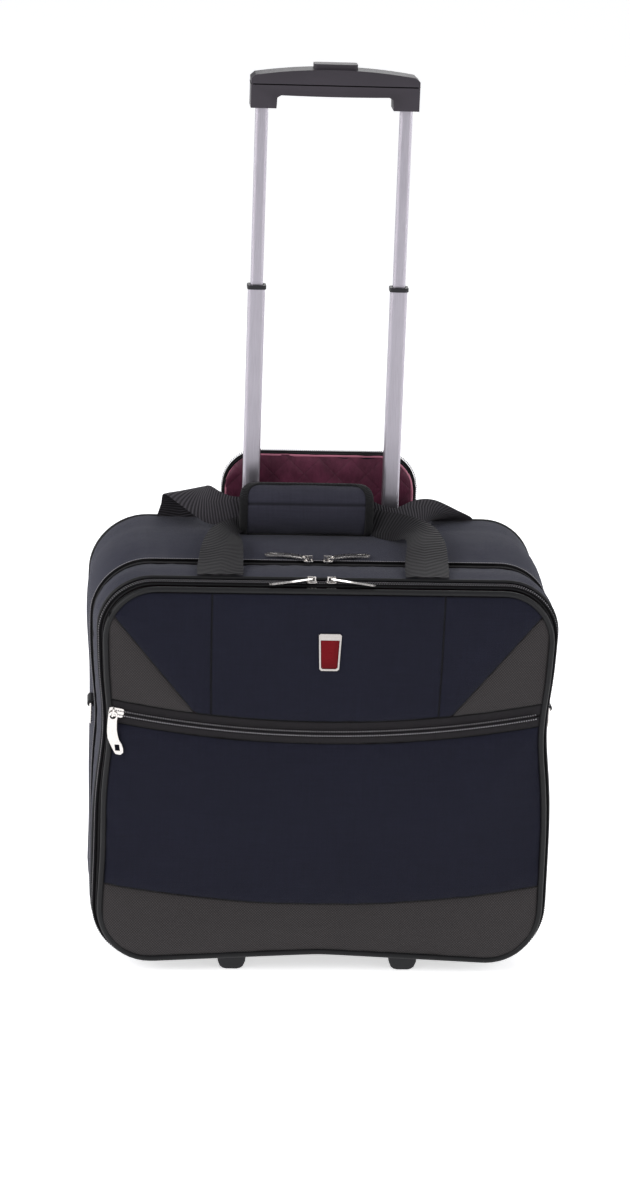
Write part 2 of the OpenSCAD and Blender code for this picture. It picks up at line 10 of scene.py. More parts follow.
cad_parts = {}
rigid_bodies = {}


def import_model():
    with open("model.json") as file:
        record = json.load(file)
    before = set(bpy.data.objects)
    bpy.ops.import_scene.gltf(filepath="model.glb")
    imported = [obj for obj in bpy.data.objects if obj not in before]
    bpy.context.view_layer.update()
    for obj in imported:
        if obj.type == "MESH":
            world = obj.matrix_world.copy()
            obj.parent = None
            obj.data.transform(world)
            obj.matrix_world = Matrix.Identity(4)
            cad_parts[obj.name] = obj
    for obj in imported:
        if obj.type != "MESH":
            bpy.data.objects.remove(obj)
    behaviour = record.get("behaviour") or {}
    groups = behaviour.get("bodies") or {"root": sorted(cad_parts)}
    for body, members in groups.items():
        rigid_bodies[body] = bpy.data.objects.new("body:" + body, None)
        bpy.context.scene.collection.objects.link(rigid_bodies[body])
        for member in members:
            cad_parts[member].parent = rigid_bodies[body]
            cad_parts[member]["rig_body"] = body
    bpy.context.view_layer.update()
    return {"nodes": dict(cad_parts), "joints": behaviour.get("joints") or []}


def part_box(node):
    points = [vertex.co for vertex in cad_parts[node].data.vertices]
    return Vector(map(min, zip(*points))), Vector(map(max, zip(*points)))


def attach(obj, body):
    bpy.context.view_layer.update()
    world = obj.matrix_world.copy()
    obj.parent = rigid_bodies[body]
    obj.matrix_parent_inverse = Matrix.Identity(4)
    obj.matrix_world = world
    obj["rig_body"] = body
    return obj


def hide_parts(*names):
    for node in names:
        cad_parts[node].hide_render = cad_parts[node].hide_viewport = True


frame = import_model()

NODES, JOINTS = frame["nodes"], {j["name"]: j for j in frame["joints"]}

# -------------------- sizes, read from the frame
PANEL, GUSSET, SHELL = (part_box(n) for n in ("panel_piping", "gusset_shell", "main_shell"))
HALF, FRONT = PANEL[1].x, PANEL[0].y
CORNER = 0.05  # the outline's corner radius
SHELL_HALF = SHELL[1].x
BAND = (SHELL_HALF, GUSSET[0].z, GUSSET[1].z)  # half width, bottom and top of the front section
BODY = (SHELL_HALF, SHELL[0].z, SHELL[1].z)  # and of the back section
FLAT_HALF = 0.15  # half width of the bottom stretch that has no zip
FRONT_ZIP_Y = (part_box("front_zip_front")[1].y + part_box("front_zip_rear")[0].y) / 2
MAIN_ZIP_Y = (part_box("main_zip_front")[1].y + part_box("main_zip_rear")[0].y) / 2
SLIDER_DROP = 0.0029  # how far a slider reaches below its zip
FRONT_ZIP_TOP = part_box("front_slider_left")[0].z + SLIDER_DROP
MAIN_ZIP_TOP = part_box("main_slider_left")[0].z + SLIDER_DROP
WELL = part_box("well_lining")
ZIP_ARC_Z = JOINTS["pocket_zip_run"]["pos_m"][2]
POCKET_TAPE = 0.0105
ZIP_ARC_R = ZIP_ARC_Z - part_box("pocket_zip")[0].z - POCKET_TAPE
FACE = FRONT + 0.0015  # the front panel's cloth before it puffs out
WAIST_Z = 0.245
RING_Y, RING_Z = -0.012, 0.235  # where the D-rings pull the sides in


def smoothstep(a, b, t):
    t = min(max((t - a) / (b - a), 0.0), 1.0)
    return t * t * (3 - 2 * t)


def bell(t, middle, width):
    return math.exp(-(((t - middle) / width) ** 2))


def zip_z(x, offset=0.0):
    """Height of the pocket zip's arc, or of a line offset from it."""
    return ZIP_ARC_Z - math.sqrt((ZIP_ARC_R + offset) ** 2 - x * x)


def settle(p):
    """How the soft body leaves its true box: a waist at the pocket zip, fuller hips, and an arched front
    bottom edge. The left side, where x is negative, bulges near its top; the right side falls in."""
    x, y, z = p
    front = 1 - smoothstep(FRONT + 0.02, MAIN_ZIP_Y + 0.02, y)
    panel = 1 - smoothstep(FRONT + 0.005, FRONT + 0.023, y)
    waist = -0.008 * bell(z, WAIST_Z, 0.058) - 0.0015 * smoothstep(0.28, 0.33, z)
    if x < 0:
        tuck = -0.0045 - 0.003 * bell(z, 0.13, 0.05)
        side = 0.0008 + 0.0043 * bell(z, 0.32, 0.055)
    else:
        tuck = -0.0045
        side = -0.001 - 0.004 * smoothstep(0.29, 0.36, z)
    side -= 0.0045 * bell(z, RING_Z, 0.028) * bell(y, RING_Y, 0.03)
    push = (waist * front + tuck * panel + side * (1 - front)) * (abs(x) / HALF) ** 2
    moved = x + push * (1 if x > 0 else -1)
    along_zip = (zip_z(moved) - zip_z(x)) * panel * bell(z, zip_z(x), 0.04)
    arch = max(0.0047 - 0.0515 * math.sqrt(x * x + 0.00006), -0.0034)
    return Vector((moved, y, z + along_zip + arch * front * (1 - smoothstep(0.015, 0.085, z))))


# -------------------- node-based materials
class Shader:
    """A Principled material with short helpers for the nodes that pattern it."""

    def __init__(self, name, color, rough, **sockets):
        self.mat = bpy.data.materials.new(name)
        self.mat.use_nodes = True
        self.tree = self.mat.node_tree
        self.bsdf = self.tree.nodes["Principled BSDF"]
        self.bsdf.inputs["Base Color"].default_value = (*color, 1.0)
        self.bsdf.inputs["Roughness"].default_value = rough
        for key, value in sockets.items():
            self.bsdf.inputs[key.replace("_", " ")].default_value = value

    def put(self, kind, inputs, out=0, **props):
        """A new node with its inputs set or linked; gives back one of its outputs."""
        node = self.tree.nodes.new(kind)
        for key, value in props.items():
            setattr(node, key, value)
        for key, value in inputs.items():
            if isinstance(value, bpy.types.NodeSocket):
                self.tree.links.new(value, node.inputs[key])
            else:
                node.inputs[key].default_value = value
        return node.outputs[out]

    def math(self, op, a, b=0.0):
        return self.put("ShaderNodeMath", {0: a, 1: b}, operation=op)

    def wave(self, value, k):
        return self.math("SINE", self.math("MULTIPLY", value, k))

    def ridges(self, value, k):
        """Rounded ridges across value, from 0 to 1."""
        return self.math("ABSOLUTE", self.wave(value, k))

    def uv(self):
        """The cloth's own flat coordinates, in metres."""
        return self.put("ShaderNodeUVMap", {}, uv_map="weave")

    def seam(self):
        """How near the cloth is to the seam at its edge, from 0 to 1: the mask for the painted shade along
        seams.
        """
        return self.put("ShaderNodeAttribute", {}, out="Fac", attribute_name="seam")

    def place(self):
        return self.put("ShaderNodeTexCoord", {}, out="Object")

    def stretch(self, vector, scale):
        return self.put("ShaderNodeMapping", {0: vector, 3: scale})

    def split(self, vector):
        """The vector's x and y."""
        node = self.tree.nodes.new("ShaderNodeSeparateXYZ")
        self.tree.links.new(vector, node.inputs[0])
        return node.outputs[:2]

    def noise(self, vector, scale, detail=2.0, rough=0.5):
        return self.put("ShaderNodeTexNoise",
                        {"Vector": vector, "Scale": scale, "Detail": detail, "Roughness": rough})

    def spread(self, value, low, high, to_low=0.0, to_high=1.0):
        return self.put("ShaderNodeMapRange", {0: value, 1: low, 2: high, 3: to_low, 4: to_high})

    def mix(self, fac, a, b):
        """From colour a to colour b as fac goes from 0 to 1."""
        a, b = (c if isinstance(c, bpy.types.NodeSocket) else (*c, 1.0) for c in (a, b))
        return self.put("ShaderNodeMix", {0: fac, 6: a, 7: b}, out=2, data_type="RGBA")

    def tint(self, socket):
        self.tree.links.new(socket, self.bsdf.inputs["Base Color"])

    def roughen(self, socket):
        self.tree.links.new(socket, self.bsdf.inputs["Roughness"])

    def bump(self, height, distance, strength=1.0, under=None):
        inputs = {"Height": height, "Distance": distance, "Strength": strength}
        if under is not None:
            inputs["Normal"] = under
        normal = self.put("ShaderNodeBump", inputs)
        self.tree.links.new(normal, self.bsdf.inputs["Normal"])
        return normal


def shade(color, k):
    return tuple(c * k for c in color)


def woven(name, color, pitch, streaks=0.5, sheen=0.08, crease=0.0009):
    """Plain weave: threads pass over and under each other, with uneven, slightly heathered yarn."""
    rough, dark, light = 0.85, shade(color, 0.6), shade(color, 1.7)
    s = Shader(name, color, rough, Sheen_Weight=sheen, Sheen_Roughness=0.5, Specular_IOR_Level=0.12)
    uv = s.uv()
    u, v = s.split(uv)
    across = s.ridges(u, math.pi / pitch)
    along = s.ridges(v, math.pi / pitch)
    squares = {"Vector": uv, "Scale": 1 / pitch, 1: (0, 0, 0, 1), 2: (1, 1, 1, 1)}
    over = s.put("ShaderNodeTexChecker", squares, out="Fac")
    thread = s.math("ADD", s.math("MULTIPLY", across, over),
                    s.math("MULTIPLY", along, s.math("SUBTRACT", 1.0, over)))
    warp = s.noise(s.stretch(uv, (1.0, 0.04, 1.0)), 0.45 / pitch, 3.0, 0.7)
    weft = s.noise(s.stretch(uv, (0.04, 1.0, 1.0)), 0.45 / pitch, 3.0, 0.7)
    heather = s.spread(s.math("ADD", warp, weft), 0.75, 1.25)
    cloudy = s.noise(s.place(), 9.0, 3.0)
    base = s.mix(s.math("MULTIPLY", heather, streaks), color, light)
    base = s.mix(s.spread(thread, 0.0, 0.7, 0.75, 0.0), base, dark)
    base = s.mix(s.spread(cloudy, 0.3, 0.7, 0.0, 0.22), base, dark)
    # painted shade: the cloth turns almost black along its seams, where the seam's dip lies in shade
    s.tint(s.mix(s.seam(), base, shade(color, 0.12)))
    s.roughen(s.spread(thread, 0.0, 1.0, rough + 0.1, rough - 0.08))
    grain = s.bump(thread, 0.00018, 0.8)
    s.bump(s.noise(s.place(), 38.0, 4.0), crease, 0.5, under=grain)
    return s.mat


def dobby(name, color, pitch):
    """Small raised diamonds over a fine weave."""
    s = Shader(name, color, 0.8, Sheen_Weight=0.1, Specular_IOR_Level=0.2)
    u, v = s.split(s.uv())
    k = math.pi / pitch
    one = s.wave(s.math("ADD", u, v), k)
    two = s.wave(s.math("SUBTRACT", u, v), k)
    diamond = s.math("ABSOLUTE", s.math("MULTIPLY", one, two))
    fine = s.ridges(v, 5 * k)
    height = s.math("ADD", diamond, s.math("MULTIPLY", fine, 0.35))
    cloudy = s.noise(s.place(), 12.0, 3.0)
    base = s.mix(s.spread(diamond, 0.15, 0.75), shade(color, 0.62), shade(color, 1.35))
    base = s.mix(s.spread(cloudy, 0.3, 0.7, 0.0, 0.25), base, shade(color, 0.6))
    # painted shade: the cloth turns almost black along its seams, where the seam's dip lies in shade
    s.tint(s.mix(s.seam(), base, shade(color, 0.08)))
    s.roughen(s.spread(diamond, 0.0, 1.0, 0.9, 0.62))
    s.bump(height, 0.0003, 0.9)
    return s.mat


def ribbed(name, color, pitch=0.0029, chevron=0.0215):
    """Webbing: slanted ribs that turn back on each other at the middle of the width."""
    light = shade(color, 1.6)
    s = Shader(name, color, 0.72, Sheen_Weight=0.04, Specular_IOR_Level=0.16)
    uv = s.uv()
    u, v = s.split(uv)
    fold = s.math("PINGPONG", v, chevron)
    rib = s.wave(s.math("ADD", u, s.math("MULTIPLY", fold, 0.22)), 2 * math.pi / pitch)
    height = s.spread(rib, -1.0, 1.0)
    yarn = s.noise(s.stretch(uv, (0.2, 1.0, 1.0)), 1600.0, 2.0)
    base = s.mix(s.spread(height, 0.1, 0.95), shade(color, 0.42), light)
    s.tint(s.mix(s.spread(yarn, 0.35, 0.7, 0.0, 0.3), base, light))
    s.roughen(s.spread(height, 0.0, 1.0, 0.8, 0.5))
    s.bump(height, 0.0005, 1.0)
    return s.mat


def satin(name, color):
    """Lining: thin, slightly shiny, faintly quilted and creased. Its creases carry painted light and shade,
    its quilting lines painted shade.
    """
    quilt_pitch, thread_pitch = 0.03, 0.0004
    s = Shader(name, color, 0.46, Sheen_Weight=0.12, Sheen_Roughness=0.35, Specular_IOR_Level=0.18)
    u, v = s.split(s.uv())
    one = s.ridges(s.math("ADD", u, v), math.pi / quilt_pitch)
    two = s.ridges(s.math("SUBTRACT", u, v), math.pi / quilt_pitch)
    quilt = s.math("POWER", s.math("MINIMUM", one, two), 0.4)
    crease = s.noise(s.stretch(s.place(), (1.0, 1.0, 0.55)), 62.0, 5.0, 0.65)
    thread = s.ridges(v, math.pi / thread_pitch)
    # painted light and shade: lighter on the creases' crests, darker in their folds
    base = s.mix(s.spread(crease, 0.3, 0.72), shade(color, 0.62), shade(color, 1.55))
    # painted shade: darker along the quilting lines
    s.tint(s.mix(s.spread(quilt, 0.0, 0.45, 0.5, 0.0), base, shade(color, 0.45)))
    s.roughen(s.spread(thread, 0.0, 1.0, 0.56, 0.42))
    s.bump(quilt, 0.0008, 0.7, under=s.bump(crease, 0.0022, 0.7))
    return s.mat


def coated(name, color, rough=0.38, grain=900.0, depth=0.00008, **more):
    """Vinyl, moulded plastic or rubber: a fine skin texture, and lighter, smoother worn high spots."""
    s = Shader(name, color, rough, **more)
    place = s.place()
    skin = s.noise(place, grain, 3.0)
    wear = s.put("ShaderNodeNewGeometry", {}, out="Pointiness")
    high = s.spread(wear, 0.515, 0.58)
    blotch = s.noise(place, 26.0, 4.0)
    base = s.mix(s.spread(blotch, 0.35, 0.7), shade(color, 0.85), shade(color, 1.15))
    s.tint(s.mix(s.math("MULTIPLY", high, 0.55), base, shade(color, 2.4)))
    s.roughen(s.math("ADD", s.spread(skin, 0.3, 0.7, rough - 0.07, rough + 0.09),
                     s.math("MULTIPLY", high, -0.08)))
    s.bump(skin, depth, 0.6)
    return s.mat


def plated(name, color, rough, brush=(1.0, 1.0, 1.0), fine=700.0):
    """Metal with a fine, directional finish, smudges and small scratches."""
    s = Shader(name, color, rough, Metallic=1.0)
    place = s.place()
    lines = s.noise(s.stretch(place, brush), fine, 4.0, 0.6)
    smudge = s.noise(place, 30.0, 4.0)
    s.tint(s.mix(s.spread(lines, 0.3, 0.7), shade(color, 0.9), shade(color, 1.08)))
    s.roughen(s.math("ADD", s.spread(lines, 0.3, 0.7, rough - 0.05, rough + 0.07),
                     s.spread(smudge, 0.4, 0.75, 0.0, 0.08)))
    s.bump(lines, 0.00002, 0.5)
    return s.mat


CLOTH_PITCH, TAPE_PITCH = 0.00075, 0.0006
NAVY = woven("navy_cloth", (0.0064, 0.0068, 0.0152), CLOTH_PITCH, sheen=0.06)
# painted light: the top, sides and handle pad are the front's navy, painted about four times lighter for the
# light and sheen they catch
NAVY_PAINTED_LIT = woven("navy_side_cloth", (0.0235, 0.024, 0.0395), CLOTH_PITCH, crease=0.002)
PAD_NAVY_PAINTED_LIT = woven("pad_cloth", (0.0258, 0.0252, 0.0375), CLOTH_PITCH, crease=0.0014)
ACCENT = dobby("grey_dobby", (0.029, 0.0253, 0.0262), 0.0026)
WEB = ribbed("black_webbing", (0.0098, 0.009, 0.0106))
# painted light: the rear loop is the same black webbing, painted nearly three times lighter as though lit
REAR_WEB_PAINTED_LIT = ribbed("rear_webbing", (0.027, 0.0245, 0.029))
BINDING = ribbed("binding_tape", (0.007, 0.0068, 0.0078), 0.0014, 0.004)
TAPE = woven("zip_tape", (0.0155, 0.014, 0.016), TAPE_PITCH, streaks=0.3, sheen=0.05)
DARK_TAPE = woven("outline_zip_tape", (0.0068, 0.0062, 0.0074), TAPE_PITCH, streaks=0.3, sheen=0.04)
LINING = satin("burgundy_lining", (0.074, 0.016, 0.0335))
# painted highlight: the lining's burgundy, several times lighter and pinker, along the flap's edge
LINING_EDGE_HIGHLIGHT = coated("lining_piping", (0.26, 0.085, 0.125), 0.5)
PIPING = coated("black_piping", (0.0055, 0.0055, 0.0062), 0.55, 1500.0, 0.00012, Specular_IOR_Level=0.22)
# painted glints: the coil is black; this light grey stands in for the glints along it
COIL_GLINTS = coated("coil_thread", (0.135, 0.13, 0.14), 0.42, 2500.0)
PLASTIC = coated("black_plastic", (0.0085, 0.0082, 0.0098), 0.45, Specular_IOR_Level=0.28)
GRIP = coated("grip_plastic", (0.02, 0.017, 0.0215), 0.48, 1300.0, 0.0001, Specular_IOR_Level=0.28)
RUBBER = coated("tyre_rubber", (0.018, 0.018, 0.018), 0.72, 600.0, 0.00015)
NICKEL = plated("nickel", (0.7, 0.67, 0.645), 0.22)
BADGE_METAL = plated("badge_metal", (0.47, 0.44, 0.42), 0.3)
ALLOY = plated("anodised_tube", (0.42, 0.395, 0.442), 0.36, (1.0, 1.0, 0.03), 1600.0)
STEEL = plated("steel", (0.5, 0.5, 0.51), 0.3)
ENAMEL = coated("red_enamel", (0.07, 0.0012, 0.003), 0.38, 400.0, 0.00003, Specular_IOR_Level=0.08)
# painted shade: near black for the shade in the gap where the grip's halves meet
GROOVE_SHADE = coated("dark_groove", (0.0015, 0.0014, 0.0017), 0.85, Specular_IOR_Level=0.04)


# -------------------- mesh helpers
def spaced(low, high, n):
    """n + 1 evenly spaced values from low to high."""
    return [low + (high - low) * i / n for i in range(n + 1)]


def place_mesh(name, mesh, material):
    """A smooth-shaded object in the scene, with one material."""
    for p in mesh.polygons:
        p.use_smooth = True
    mesh.materials.clear()
    mesh.materials.append(material)
    obj = bpy.data.objects.new(name, mesh)
    bpy.context.scene.collection.objects.link(obj)
    return obj


def add(name, verts, faces, material, sharp=None):
    """A mesh object from points and faces; edges over sharp degrees stay crisp."""
    mesh = bpy.data.meshes.new(name)
    mesh.from_pydata([tuple(v) for v in verts], [], faces)
    mesh.validate()
    obj = place_mesh(name, mesh, material)
    if sharp:
        mesh.set_sharp_from_angle(angle=math.radians(sharp))
    return obj


def go(obj, body, *nodes, slot=None):
    """Puts a finished piece on its body, in place of CAD nodes."""
    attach(obj, body)
    if nodes:
        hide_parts(*nodes)
    return obj


def thicken(obj, thickness):
    m = obj.modifiers.new("thickness", "SOLIDIFY")
    m.thickness, m.offset, m.use_even_offset = thickness, -1, False
    return obj


def face_out(obj, outward):
    """Turns the faces so that they look the way outward(point) does, on the whole."""
    mesh = obj.data
    if sum(p.normal.dot(outward(p.center)) * p.area for p in mesh.polygons) < 0:
        mesh.flip_normals()
    return obj


def face_all_out(obj):
    """Turns every face of a closed mesh outward."""
    bm = bmesh.new()
    bm.from_mesh(obj.data)
    bmesh.ops.recalc_face_normals(bm, faces=bm.faces)
    bm.to_mesh(obj.data)
    bm.free()
    return obj


def grid(name, rows, uvs, material, closed=False, skip=None):
    """A quad sheet from rows of points. closed joins the last column to the first; skip(point) cuts gaps."""
    n = len(rows[0])
    verts = [p for row in rows for p in row]
    faces = []
    for i in range(len(rows) - 1):
        for k in range(n if closed else n - 1):
            after = (k + 1) % n
            quad = [i * n + k, i * n + after, (i + 1) * n + after, (i + 1) * n + k]
            if skip is None or not skip(sum((verts[a] for a in quad), Vector()) / 4):
                faces.append(quad)
    obj = add(name, verts, faces, material)
    mesh = obj.data
    layer = mesh.uv_layers.new(name="weave")
    flat_uv = [c for row in uvs for c in row]
    whole_turn = uvs[0][-1][0] + (uvs[0][1][0] - uvs[0][0][0])
    for poly in mesh.polygons:
        points = [mesh.loops[li].vertex_index for li in poly.loop_indices]
        at_join = closed and any(vi % n == n - 1 for vi in points)
        for li, vi in zip(poly.loop_indices, points):
            u, v = flat_uv[vi]
            layer.data[li].uv = (whole_turn if at_join and vi % n == 0 else u, v)
    if skip is not None:
        bm = bmesh.new()
        bm.from_mesh(mesh)
        bmesh.ops.delete(bm, geom=[v for v in bm.verts if not v.link_faces], context="VERTS")
        bm.to_mesh(mesh)
        bm.free()
    return obj


def mark_seam_shade(obj, distances, width=0.0009):
    """Stores how near each point is to a seam, the mask for the painted shade along the cloth's seams. A
    sheet that lost points to a gap stays unmarked."""
    if len(distances) == len(obj.data.vertices):
        layer = obj.data.attributes.new("seam", "FLOAT", "POINT")
        layer.data.foreach_set("value", [bell(d, 0.0, width) for d in distances])


def rounded_path(half, z0, z1, r=CORNER, step=0.006, marks=()):
    """The case's outline as (x, z, outward x, outward z), anticlockwise from the bottom's middle. A point
    falls on each of marks along the flat bottom and top."""
    turns = max(6, round(r * math.pi / 2 / step))
    height = z1 - z0 - 2 * r
    levels = spaced(0.0, height, round(height / step))[:-1]

    def line(a, b):
        stops = sorted({a, b, *(m for m in marks if min(a, b) < m < max(a, b))}, reverse=a > b)
        out = []
        for p, q in zip(stops, stops[1:]):
            out += spaced(p, q, max(1, round(abs(q - p) / step)))[:-1]
        return out

    def corner(cx, cz, first):
        angles = [math.radians(first + 90 * i / turns) for i in range(turns)]
        return [(cx + r * math.cos(a), cz + r * math.sin(a), math.cos(a), math.sin(a)) for a in angles]

    return ([(x, z0, 0, -1) for x in line(0, half - r)]
            + corner(half - r, z0 + r, -90)
            + [(half, z0 + r + up, 1, 0) for up in levels]
            + corner(half - r, z1 - r, 0)
            + [(x, z1, 0, 1) for x in line(half - r, -half + r)]
            + corner(-half + r, z1 - r, 90)
            + [(-half, z1 - r - down, -1, 0) for down in levels]
            + corner(-half + r, z0 + r, 180)
            + [(x, z0, 0, -1) for x in line(-half + r, 0)])


def rounded_ends(half, low, high, r):
    """The bottom and the top of a rounded rectangle, as two functions of x."""
    def drawn_in(x):
        d = abs(x) - (half - r)
        return r - math.sqrt(max(0.0, r * r - d * d)) if d > 0 else 0.0

    return (lambda x: low + drawn_in(x)), (lambda x: high - drawn_in(x))


def ring(name, half, z0, z1, profile, material, skip=None, marks=(), r=CORNER, step=0.006, ripple=0.0,
         seams=(), drop=None):
    """Cloth that follows the outline. profile is (y, offset outward) across its depth; ripple puckers it,
    most of all at its seams. drop(y) is how far its top sinks."""
    path = rounded_path(half, z0, z1, r, step, marks)
    lengths = [0.0]
    for a, b in zip(path, path[1:]):
        lengths.append(lengths[-1] + math.hypot(b[0] - a[0], b[1] - a[1]))
    rows, uvs, v = [], [], 0.0
    for i, (y, off) in enumerate(profile):
        if i:
            v += math.hypot(y - profile[i - 1][0], off - profile[i - 1][1])
        near = sum(math.exp(-abs(y - seam) / 0.011) for seam in seams)
        row = []
        for (x, z, nx, nz), along in zip(path, lengths):
            soft = noise.noise(Vector((x * 16, y * 22, z * 16)))
            pucker = near * noise.noise(Vector((along * 95, y * 20, 3.0)))
            lift = off + ripple * (0.8 * soft + pucker)
            sink = drop(y) * smoothstep(0.0, 0.8, nz) if drop else 0.0
            row.append(settle((x + nx * lift, y, z + nz * lift - sink)))
        rows.append(row)
        uvs.append([(along, v) for along in lengths])
    obj = grid(name, rows, uvs, material, closed=True, skip=skip)
    to_seam = [min([abs(y - seam) for seam in seams], default=1.0) for y, off in profile]
    mark_seam_shade(obj, np.repeat(to_seam, len(path)))
    return face_out(obj, lambda p: Vector((p.x, 0, p.z - (z0 + z1) / 2)))


def tube(name, points, radius, material, sides=10, closed=False):
    """A round cord along points."""
    pts = [Vector(p) for p in points]
    n = len(pts)
    verts, normal = [], None
    for i, p in enumerate(pts):
        a = pts[(i - 1) % n] if closed or i else p
        b = pts[(i + 1) % n] if closed or i < n - 1 else p
        t = (b - a).normalized()
        if normal is None:
            normal = Vector((0, 1, 0)) - t * t.y if abs(t.y) < 0.9 else t.orthogonal()
            normal.normalize()
        normal = (normal - t * normal.dot(t)).normalized()
        side = t.cross(normal)
        for k in range(sides):
            w = 2 * math.pi * k / sides
            verts.append(p + normal * radius * math.cos(w) + side * radius * math.sin(w))
    faces = []
    for i in range(n if closed else n - 1):
        here, there = i * sides, (i + 1) % n * sides
        for k in range(sides):
            after = (k + 1) % sides
            faces.append([here + k, here + after, there + after, there + k])
    if not closed:
        faces += [list(range(sides))[::-1], list(range((n - 1) * sides, n * sides))]
    return face_all_out(add(name, verts, faces, material, sharp=60))


def outline_tube(name, half, z0, z1, y, radius, body, node, out=0.0):
    """Piping round the outline at depth y."""
    points = [settle((x + nx * out, y, z + nz * out)) for x, z, nx, nz in rounded_path(half, z0, z1)]
    return go(tube(name, points, radius, PIPING, closed=True), body, node, slot="piping")


def boxes(name, placed, material):
    """Many small tapered lumps in one mesh: each is (foot, along, across, up, length, width, height)."""
    verts, faces = [], []
    for foot, along, across, up, length, width, height in placed:
        k = len(verts)
        for z, f in ((0.0, 1.0), (height * 0.65, 0.92), (height, 0.5)):
            centre, narrow = foot + up * z, 0.6 + 0.4 * f
            for sa, sw in ((-1, -1), (1, -1), (1, 1), (-1, 1)):
                verts.append(centre + along * sa * length / 2 * f + across * sw * width / 2 * narrow)
        for low in (k, k + 4):
            faces += [[low + i, low + (i + 1) % 4, low + 4 + (i + 1) % 4, low + 4 + i] for i in range(4)]
        faces += [[k + 3, k + 2, k + 1, k], [k + 8, k + 9, k + 10, k + 11]]
    return add(name, verts, faces, material, sharp=70)


def resample(points, pitch, start=0.0):
    """Points and directions every pitch along a line."""
    out, left = [], start
    for a, b in zip(points, points[1:]):
        length = (b - a).length
        if length < 1e-9:
            continue
        t = (b - a) / length
        while left < length:
            out.append((a + t * left, t))
            left += pitch
        left -= length
    return out


def coil(name, points, ups, way, body, tape):
    """One half of a covered zip: the cord the coil makes beside the slit, and the sewn line that holds it,
    light grey as painted glints on the black coil. ups(p) is the way off the tape, way(up, along) the way
    over the slit."""
    cord = [p - way(ups(p), t) * 0.0016 + ups(p) * 0.0006 for p, t in resample(points, 0.0045)]
    go(tube(name + "_cord", cord, 0.0015, tape, sides=8), body, slot="zip_tape")
    placed = []
    for p, t in resample(points, 0.0022):
        up = ups(p)
        over = way(up, t)
        placed.append((p - over * 0.0021 + up * 0.0018, t, over, up, 0.0011, 0.0011, 0.0006))
    # the stitches are light grey: painted glints on the black coil
    return go(boxes(name + "_stitches", placed, COIL_GLINTS), body, slot="zip_tape")


def teeth(name, points, ups, across, body, pitch, width):
    """One row of bare zip coil along points. ups(p) is the way out, across the way to the other row."""
    placed = [(p - across * width * 0.42, t, across, ups(p), pitch * 0.56, width, 0.0013)
              for p, t in resample(points, pitch, pitch / 2)]
    # the teeth are light grey: painted glints on the black coil
    return go(boxes(name, placed, COIL_GLINTS), body, slot="zip_tape")


def polish(node, material, width, segments=2):
    """A CAD node's own shape with its edges broken as a real part's are, standing for that node."""
    source, edge_angle = NODES[node], math.radians(32)
    bm = bmesh.new()
    bm.from_mesh(source.data)
    bmesh.ops.remove_doubles(bm, verts=bm.verts, dist=2e-6)
    bmesh.ops.dissolve_limit(bm, angle_limit=math.radians(0.6), verts=bm.verts, edges=bm.edges)
    mesh = bpy.data.meshes.new(node + "_part")
    bm.to_mesh(mesh)
    bm.free()
    obj = place_mesh(node + "_part", mesh, material)
    for p in mesh.polygons:
        p.material_index = 0
    mesh.set_sharp_from_angle(angle=edge_angle)
    if width:
        m = obj.modifiers.new("edge", "BEVEL")
        m.width, m.segments, m.limit_method, m.angle_limit = width, segments, "ANGLE", edge_angle
        m.harden_normals, m.use_clamp_overlap = True, True
    return go(obj, source["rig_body"], node)


def catmull(stations, steps):
    """Smooths a list of (centre, half width) stations."""
    out = []
    for i, b in enumerate(stations[:-1]):
        a, c, d = stations[max(i - 1, 0)], stations[i + 1], stations[min(i + 2, len(stations) - 1)]
        for k in range(steps + (i == len(stations) - 2)):
            t = k / steps
            out.append([0.5 * (2 * b[j] + (c[j] - a[j]) * t + (2 * a[j] - 5 * b[j] + 4 * c[j] - d[j]) * t * t
                               + (3 * b[j] - a[j] - 3 * c[j] + d[j]) * t ** 3) for j in (0, 1)])
    return out


def webbing(name, stations, base, thickness, body, node, material):
    """A woven strap through stations, in millimetres over height base; thinner at its selvedges."""
    steps, across = 9, 8
    line = catmull([(Vector(p) / 1000 + Vector((0, 0, base)), Vector(w) / 1000) for p, w in stations], steps)
    verts, uvs, s = [], [], 0.0
    n = 2 * across + 2
    for i, (c, w) in enumerate(line):
        ahead = (line[min(i + 1, len(line) - 1)][0] - line[max(i - 1, 0)][0]).normalized()
        normal = ahead.cross(w).normalized()
        if i:
            s += (c - line[i - 1][0]).length
        for top in (1, -1):
            for k in range(across + 1):
                t = top * (-1 + 2 * k / across)
                edge = min(1.0, (1 - abs(t)) * 6 + 0.35)
                bow = 0.0004 * noise.noise(Vector((s * 30, t, 1.7)))
                verts.append(c + w * t + normal * (bow + top * thickness / 2 * edge))
                uvs.append((s, (t + 1) * w.length))
    faces = []
    for i in range(len(line) - 1):
        for k in range(n):
            a, b = i * n + k, i * n + (k + 1) % n
            faces.append([a, b, b + n, a + n])
    faces += [list(range(n))[::-1], list(range(len(verts) - n, len(verts)))]
    obj = add(name, verts, faces, material, sharp=50)
    layer = obj.data.uv_layers.new(name="weave")
    layer.data.foreach_set("uv", np.array([uvs[l.vertex_index] for l in obj.data.loops], np.float32).ravel())
    return go(face_all_out(obj), body, node, slot="webbing")


# -------------------- front panel: cloth patches between seams
HEM = 0.006  # how far the cloth stays inside the panel's piping
INNER = HALF - HEM
EDGE_IN = 0.0001  # keeps a sheet's last column off the end of its arc
edge_low, edge_high = rounded_ends(INNER, PANEL[0].z + HEM, PANEL[1].z - HEM, CORNER - HEM)
CORNER_X = (0.127, 0.1205)  # where each corner's slanted seam meets the zip, left and right
CORNER_SLOPE = 93 / 78
SEAM_X = (0.11, 0.106)  # the two upright seams
NEAR = (0.0007, 0.0014, 0.0024)  # the first rows and columns in from a seam


